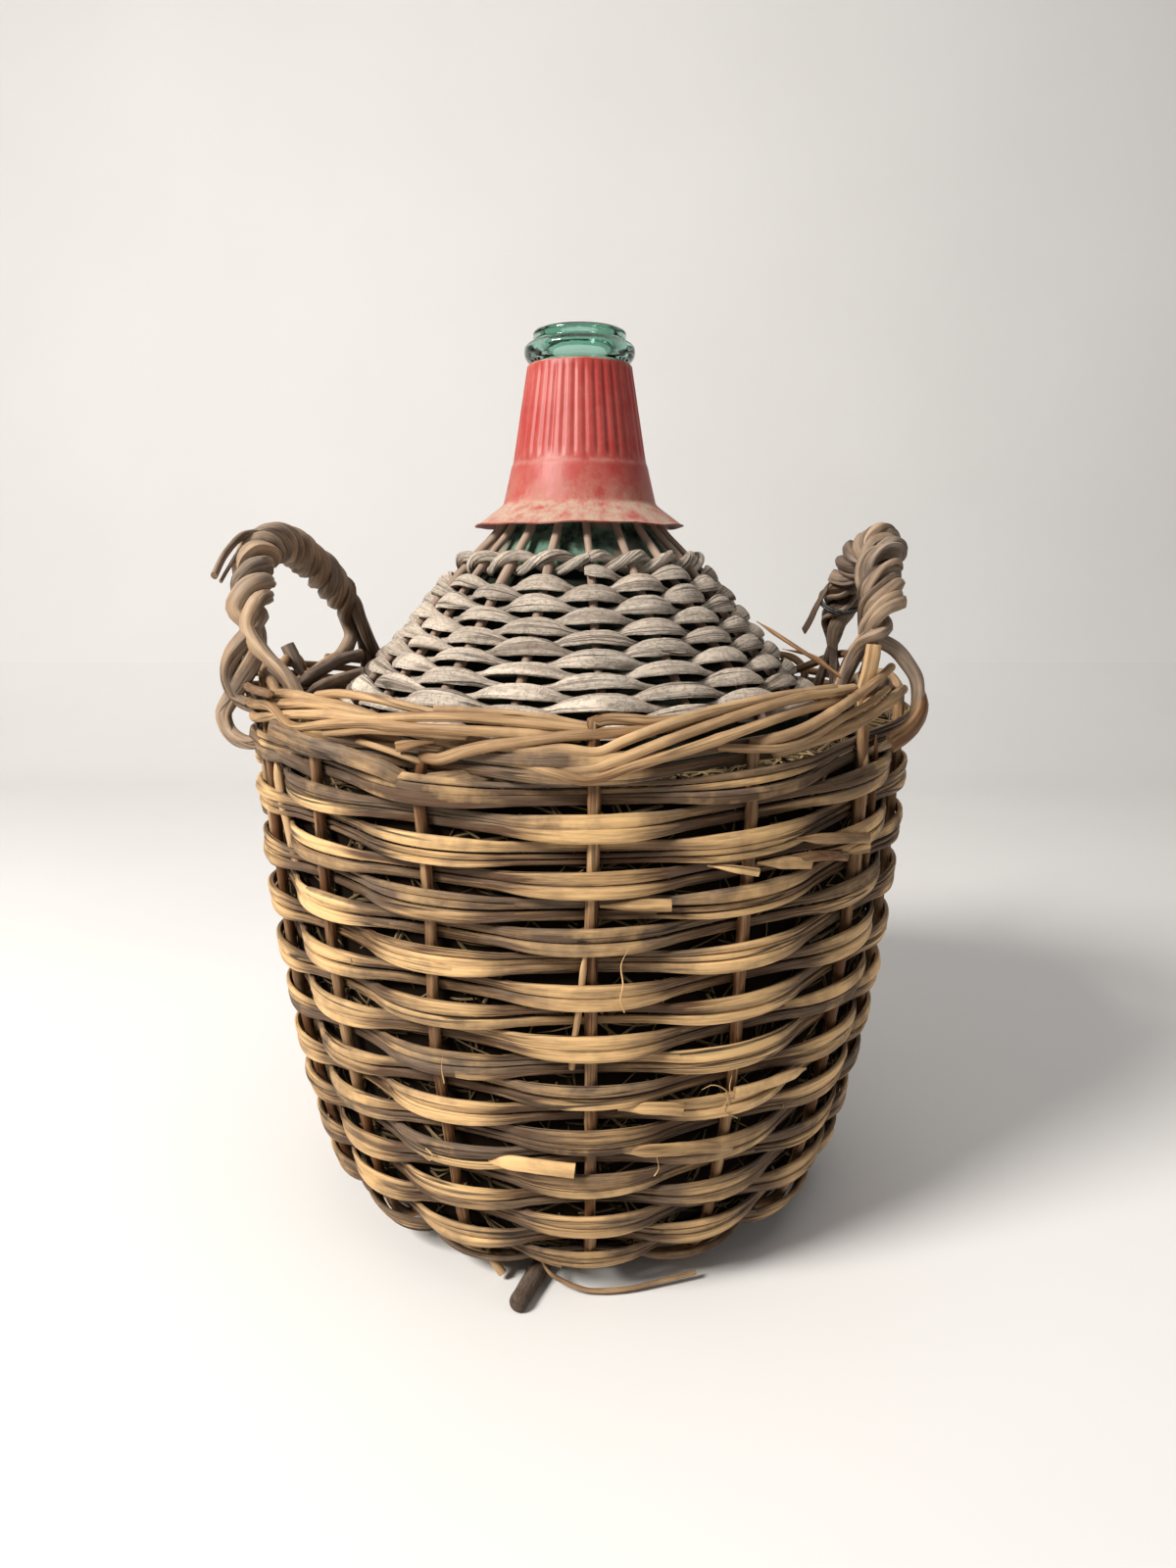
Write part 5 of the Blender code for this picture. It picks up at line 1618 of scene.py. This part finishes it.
class WICKER_OT_handles(Operator):
    """Twists three split strands into each handle, and takes their ends through and round the border."""

    bl_idname = "wicker.handles"
    bl_label = "Handles"

    def execute(self, context):
        sizes = sizes_of(context).basket
        for side in handle_arches:
            for number in range(3):
                self.strand(side, number, sizes)
        return {"FINISHED"}

    def strand(self, side, number, sizes):
        """One strand: a few split rods side by side, wound round the handle's middle line."""
        loft = Loft(800 + 10 * number + (side == "left"))
        chance = loft.chance
        arch = handle_line(side)
        along = unit(np.gradient(arch, axis=0))
        outward = unit(arch * (1, 1, 0) - np.sum(arch * (1, 1, 0) * along, axis=1, keepdims=True) * along)
        share = distances(arch) / distances(arch)[-1]
        turn = TAU * (0.25 + number / 3 + handle_turns[side] * share)
        turn = turn + 0.25 * drift(chance, share, 0.12, 1.0)
        reach = sizes.strand_reach * (1 + 0.06 * np.sin(9 * share + number))
        helix = arch + reach[:, None] * around(turn, along, outward)
        step = unit(np.gradient(helix, axis=0))
        out = unit(outward - np.sum(outward * step, axis=1, keepdims=True) * step)
        for index, (radius, offset) in enumerate(handle_fibres[side]):
            wind = TAU * index / 3 + 16 * distances(helix) + drift(chance, distances(helix), 0.05, 0.5)
            fibre = helix + offset * around(wind, step, out)
            head = self.end(handle_heads[side][number], offset, chance)
            tail = self.end(handle_tails[side][number], offset, chance)
            points = np.concatenate((head[::-1], fibre[5:-4:4], tail))
            self.ease(points, max(len(head) - 3, 1), 3)
            self.ease(points, len(points) - len(tail) - 3, 1)
            line = even(curve_through(points, 6), 0.0022)
            distance = distances(line)
            near_end = 1 - smooth(np.minimum(distance, distance[-1] - distance) / handle_end_length)
            size = 2 * radius * uneven(chance, distance, 0.016, 0.07)
            size *= 1 - handle_thinning[side] * near_end
            columns = round_angles(12)[None, :]
            ridge = 1 + 0.08 * np.cos(4 * columns + 50 * distance[:, None])
            ridge += 0.06 * np.cos(3 * columns - 40 * distance[:, None] + number)
            ridge += 0.03 * drift(chance, distance, 0.01, 1.0)[:, None]
            shade = chance.uniform(0.35, 0.85) + drift(chance, distance, 0.03, 0.16) - 0.35 * near_end
            grey = chance.uniform(0.0, 0.7) * (1 - near_end) + drift(chance, distance, 0.04, 0.25)
            there = distance / distance[-1]
            # The back half of each strand is darker: painted shade away from the light at the front left.
            shade = np.clip(shade - 0.40 * smooth((there - 0.45) / 0.25), 0, 1)
            grey = np.clip(grey + 0.35 * np.sin(math.pi * there) ** 2, 0, 1)
            depth = size * chance.uniform(0.85, 1.0)
            loft.add(line, carried(line, (0.3, 0.2, 1)), round_section(12), size, depth, 14 * distance,
                     shade, grey, ridge, dome=True)
        nodes = [f"handle_strand_{side}_{number + 1}"]
        if number == 0:
            nodes.append(f"handle_bow_{side}")
        piece = loft.finish(f"handle_{side}_strand_{number + 1}", finishes.handle)
        settle(piece, "basket", "handle_willow", *nodes)

    def ease(self, points, low, rounds):
        """Smooths six of the points, where the winding goes over into an end."""
        high = min(low + 6, len(points) - 1)
        for _ in range(rounds):
            both = points[low - 1:high - 1] + points[low + 1:high + 1]
            points[low:high] = 0.5 * points[low:high] + 0.25 * both

    def end(self, route, spread, chance):
        """One rod's own way along its strand's route, straying farther towards its end."""
        points = above_border(route)
        share = np.linspace(0.3, 1, len(points))[:, None]
        return points + chance.normal(0.0, 1.3, 3) * spread * share * (0.9, 0.9, 0.5)


def around(angle, along, outward):
    """Unit vectors at these angles about the direction of a line, counted from outwards."""
    return np.cos(angle)[:, None] * outward + np.sin(angle)[:, None] * np.cross(along, outward)


class WICKER_OT_loose_ends(Operator):
    """Adds the cut ends, split-off strips, stubs and fibres that stand out from the weave."""

    bl_idname = "wicker.loose_ends"
    bl_label = "Loose ends"

    def execute(self, context):
        kinds = {
            "splint": (finishes.splint, "tan_splint", split_section(14)),
            "fibre": (finishes.splint, "tan_splint", round_section(6)),
            "rod": (finishes.stake, "peeled_stake", round_section(12)),
            "bark_strip": (finishes.stake, "peeled_stake", split_section(14)),
            "handle": (finishes.handle, "handle_willow", round_section(12)),
            "bark": (finishes.bark, "bark_stick", split_section(12)),
        }
        for number, (kind, (finish, slot, section)) in enumerate(kinds.items()):
            loft = Loft(950 + number)
            for made_of, width, depth, shade, grey, route in loose_ends:
                if made_of == kind:
                    self.lay(loft, section, width / 1000, depth / 1000, shade, grey, np.array(route))
            piece = loft.finish(f"loose_{kind}s", finish)
            settle(piece, "basket", slot)
        return {"FINISHED"}

    def lay(self, loft, section, width, depth, shade, grey, route):
        """A piece that starts narrow, behind the others, and ends in a blunt cut."""
        chance = loft.chance
        line = even(curve_through(turned(np.radians(route[:, 0]), route[:, 1], route[:, 2]), 8), 0.0020)
        reach = distances(line)
        size = uneven(chance, reach, 0.012, 0.05) * (0.30 + 0.70 * smooth(reach / 0.014))
        relief = 1 + chance.normal(0, 0.03, len(section))[None, :]
        relief = relief + chance.normal(0, 0.012, (len(line), len(section)))
        loft.add(line, line * (1, 1, 0), section, width * size, depth * size,
                 drift(chance, reach, 0.03, 0.10), toned(chance, shade, reach, 0.02, 0.08), grey, relief)


class WICKER_OT_wire(Operator):
    """Ties a turn of wire round the back of the right handle."""

    bl_idname = "wicker.wire_tie"
    bl_label = "Wire tie"

    def execute(self, context):
        sizes = sizes_of(context).basket
        turns, radius, room = 2, 0.0009, 0.0007
        near = handle_line("right")
        index = int(0.90 * (len(near) - 1))
        centre, along = near[index], unit(near[index + 1] - near[index - 1])
        outward = centre * (1, 1, 0)
        outward = unit(outward - outward @ along * along)
        turn = np.linspace(0, turns * TAU, 30)
        reach = sizes.strand_reach + sizes.strand_radius + room
        line = centre + reach * around(turn, along, outward) + (turn[:, None] / TAU - 1) * 2 * radius * along
        end = line[-1] + np.array([(-0.002, -0.004, 0.001), (-0.008, -0.009, 0.004)])
        start = line[0] + np.array([(0.004, -0.008, 0.003), (0.001, -0.004, 0.001)])
        loft = Loft(900)
        loft.rod(np.concatenate((start, line, end)), radius, start=along, sides=8, wobble=0.02,
                 spacing=0.0015)
        piece = loft.finish("wire_turns", finishes.wire)
        settle(piece, "basket", "black_wire", "wire_tie")
        return {"FINISHED"}


class WICKER_OT_stage(Operator):
    """Sets the pale floor and backdrop, the soft lights and the camera."""

    bl_idname = "wicker.stage"
    bl_label = "Stage"

    def execute(self, context):
        self.floor()
        self.lights(context.scene)
        self.camera(context.scene)
        return {"FINISHED"}

    def floor(self):
        """A plane whose back edge is extruded up into a wall, with a wide sweep between."""
        start_fresh()
        bpy.ops.mesh.primitive_plane_add(size=1, location=(0, 0, 0))
        floor = bpy.context.object
        floor.scale = (7.0, 5.0, 1.0)
        bpy.ops.object.transform_apply(location=True, rotation=True, scale=True)
        deselect_mesh("EDGE")
        for corner in floor.data.vertices:
            corner.select = corner.co.y > 0
        for edge in floor.data.edges:
            edge.select = all(floor.data.vertices[index].co.y > 0 for index in edge.vertices)
        bpy.ops.object.mode_set(mode="EDIT")
        bpy.ops.transform.translate(value=(0, -1.6, 0))
        extrude((0, 0.5, 0), (0, 0.35, 0.35), (0, 0, 2.8))
        bpy.ops.object.mode_set(mode="OBJECT")
        bevel = floor.modifiers.new("sweep", "BEVEL")
        bevel.width, bevel.segments = 0.25, 8
        bpy.ops.object.modifier_apply(modifier="sweep")
        smooth_piece(floor, 60)
        floor.name = "pale_floor"
        floor.data.materials.append(finishes.floor)

    def lights(self, scene):
        """A window at the left, a ceiling light, a weak fill at the right and a pale room."""
        world = bpy.data.worlds.new("soft_room")
        world.use_nodes = True
        background = world.node_tree.nodes["Background"]
        background.inputs["Color"].default_value = (0.95, 0.97, 1.0, 1.0)
        background.inputs["Strength"].default_value = 0.155
        scene.world = world
        for name, place, size, power, colour in (
            ("window", (-1.55, -1.20, 1.72), 0.8, 88.0, (1.0, 0.97, 0.93)),
            ("ceiling", (0.3, -0.2, 2.2), 1.8, 10.0, (1.0, 0.98, 0.96)),
            ("fill", (1.6, -1.3, 0.9), 1.4, 2.5, (0.96, 0.98, 1.0)),
        ):
            data = bpy.data.lights.new(name, "AREA")
            data.shape, data.size, data.energy, data.color = "DISK", size, power, colour
            light = bpy.data.objects.new(name, data)
            light.location = place
            aim = Vector((0.0, 0.0, 0.2)) - Vector(place)
            light.rotation_euler = aim.to_track_quat("-Z", "Y").to_euler()
            scene.collection.objects.link(light)

    def camera(self, scene):
        """The photograph's view."""
        data = bpy.data.cameras.new("photo_view")
        data.sensor_fit, data.sensor_height = "VERTICAL", film_height
        data.lens = film_height * focal_pixels / picture_height
        data.shift_x = shift_pixels / picture_height
        data.clip_start = 0.01
        camera = bpy.data.objects.new("photo_view", data)
        camera.location = camera_place
        camera.rotation_euler = (math.radians(camera_tilt_degrees), 0.0, 0.0)
        scene.collection.objects.link(camera)
        scene.camera = camera


class WICKER_PT_panel(Panel):
    """Lists the pieces in the order in which they are made."""

    bl_idname = "WICKER_PT_panel"
    bl_label = "Wicker bottle"
    bl_space_type = "VIEW_3D"
    bl_region_type = "UI"
    bl_category = "Wicker bottle"

    def draw(self, context):
        settings = sizes_of(context)
        for group in (settings.bottle, settings.basket, settings.colours):
            box = self.layout.box()
            for name in group.__annotations__:
                box.prop(group, name)
        for operator in piece_operators:
            self.layout.operator(operator.bl_idname)


piece_operators = (
    WICKER_OT_stage, WICKER_OT_glass, WICKER_OT_collar, WICKER_OT_cover_rods, WICKER_OT_cover_weave,
    WICKER_OT_cover_twist, WICKER_OT_straw, WICKER_OT_base, WICKER_OT_stakes, WICKER_OT_border_fillers,
    WICKER_OT_side_weave, WICKER_OT_handles, WICKER_OT_loose_ends, WICKER_OT_wire,
)
classes = (BottleSizes, BasketSizes, FinishColours, WickerBottle, *piece_operators, WICKER_PT_panel)


def register():
    for item in classes:
        bpy.utils.register_class(item)
    bpy.types.Scene.wicker_bottle = PointerProperty(type=WickerBottle)


def unregister():
    del bpy.types.Scene.wicker_bottle
    for item in reversed(classes):
        bpy.utils.unregister_class(item)


def main():
    register()
    bpy.context.scene.view_settings.view_transform = "Standard"
    finishes.make(bpy.context.scene.wicker_bottle.colours)
    bpy.ops.wicker.stage()
    bpy.ops.wicker.glass_bottle()
    bpy.ops.wicker.neck_collar()
    bpy.ops.wicker.cover_rods()
    bpy.ops.wicker.cover_weave()
    bpy.ops.wicker.cover_twist()
    bpy.ops.wicker.straw_packing()
    bpy.ops.wicker.base()
    bpy.ops.wicker.side_stakes()
    bpy.ops.wicker.border_fillers()
    bpy.ops.wicker.side_weave()
    bpy.ops.wicker.handles()
    bpy.ops.wicker.loose_ends()
    bpy.ops.wicker.wire_tie()


if __name__ == "__main__":
    main()
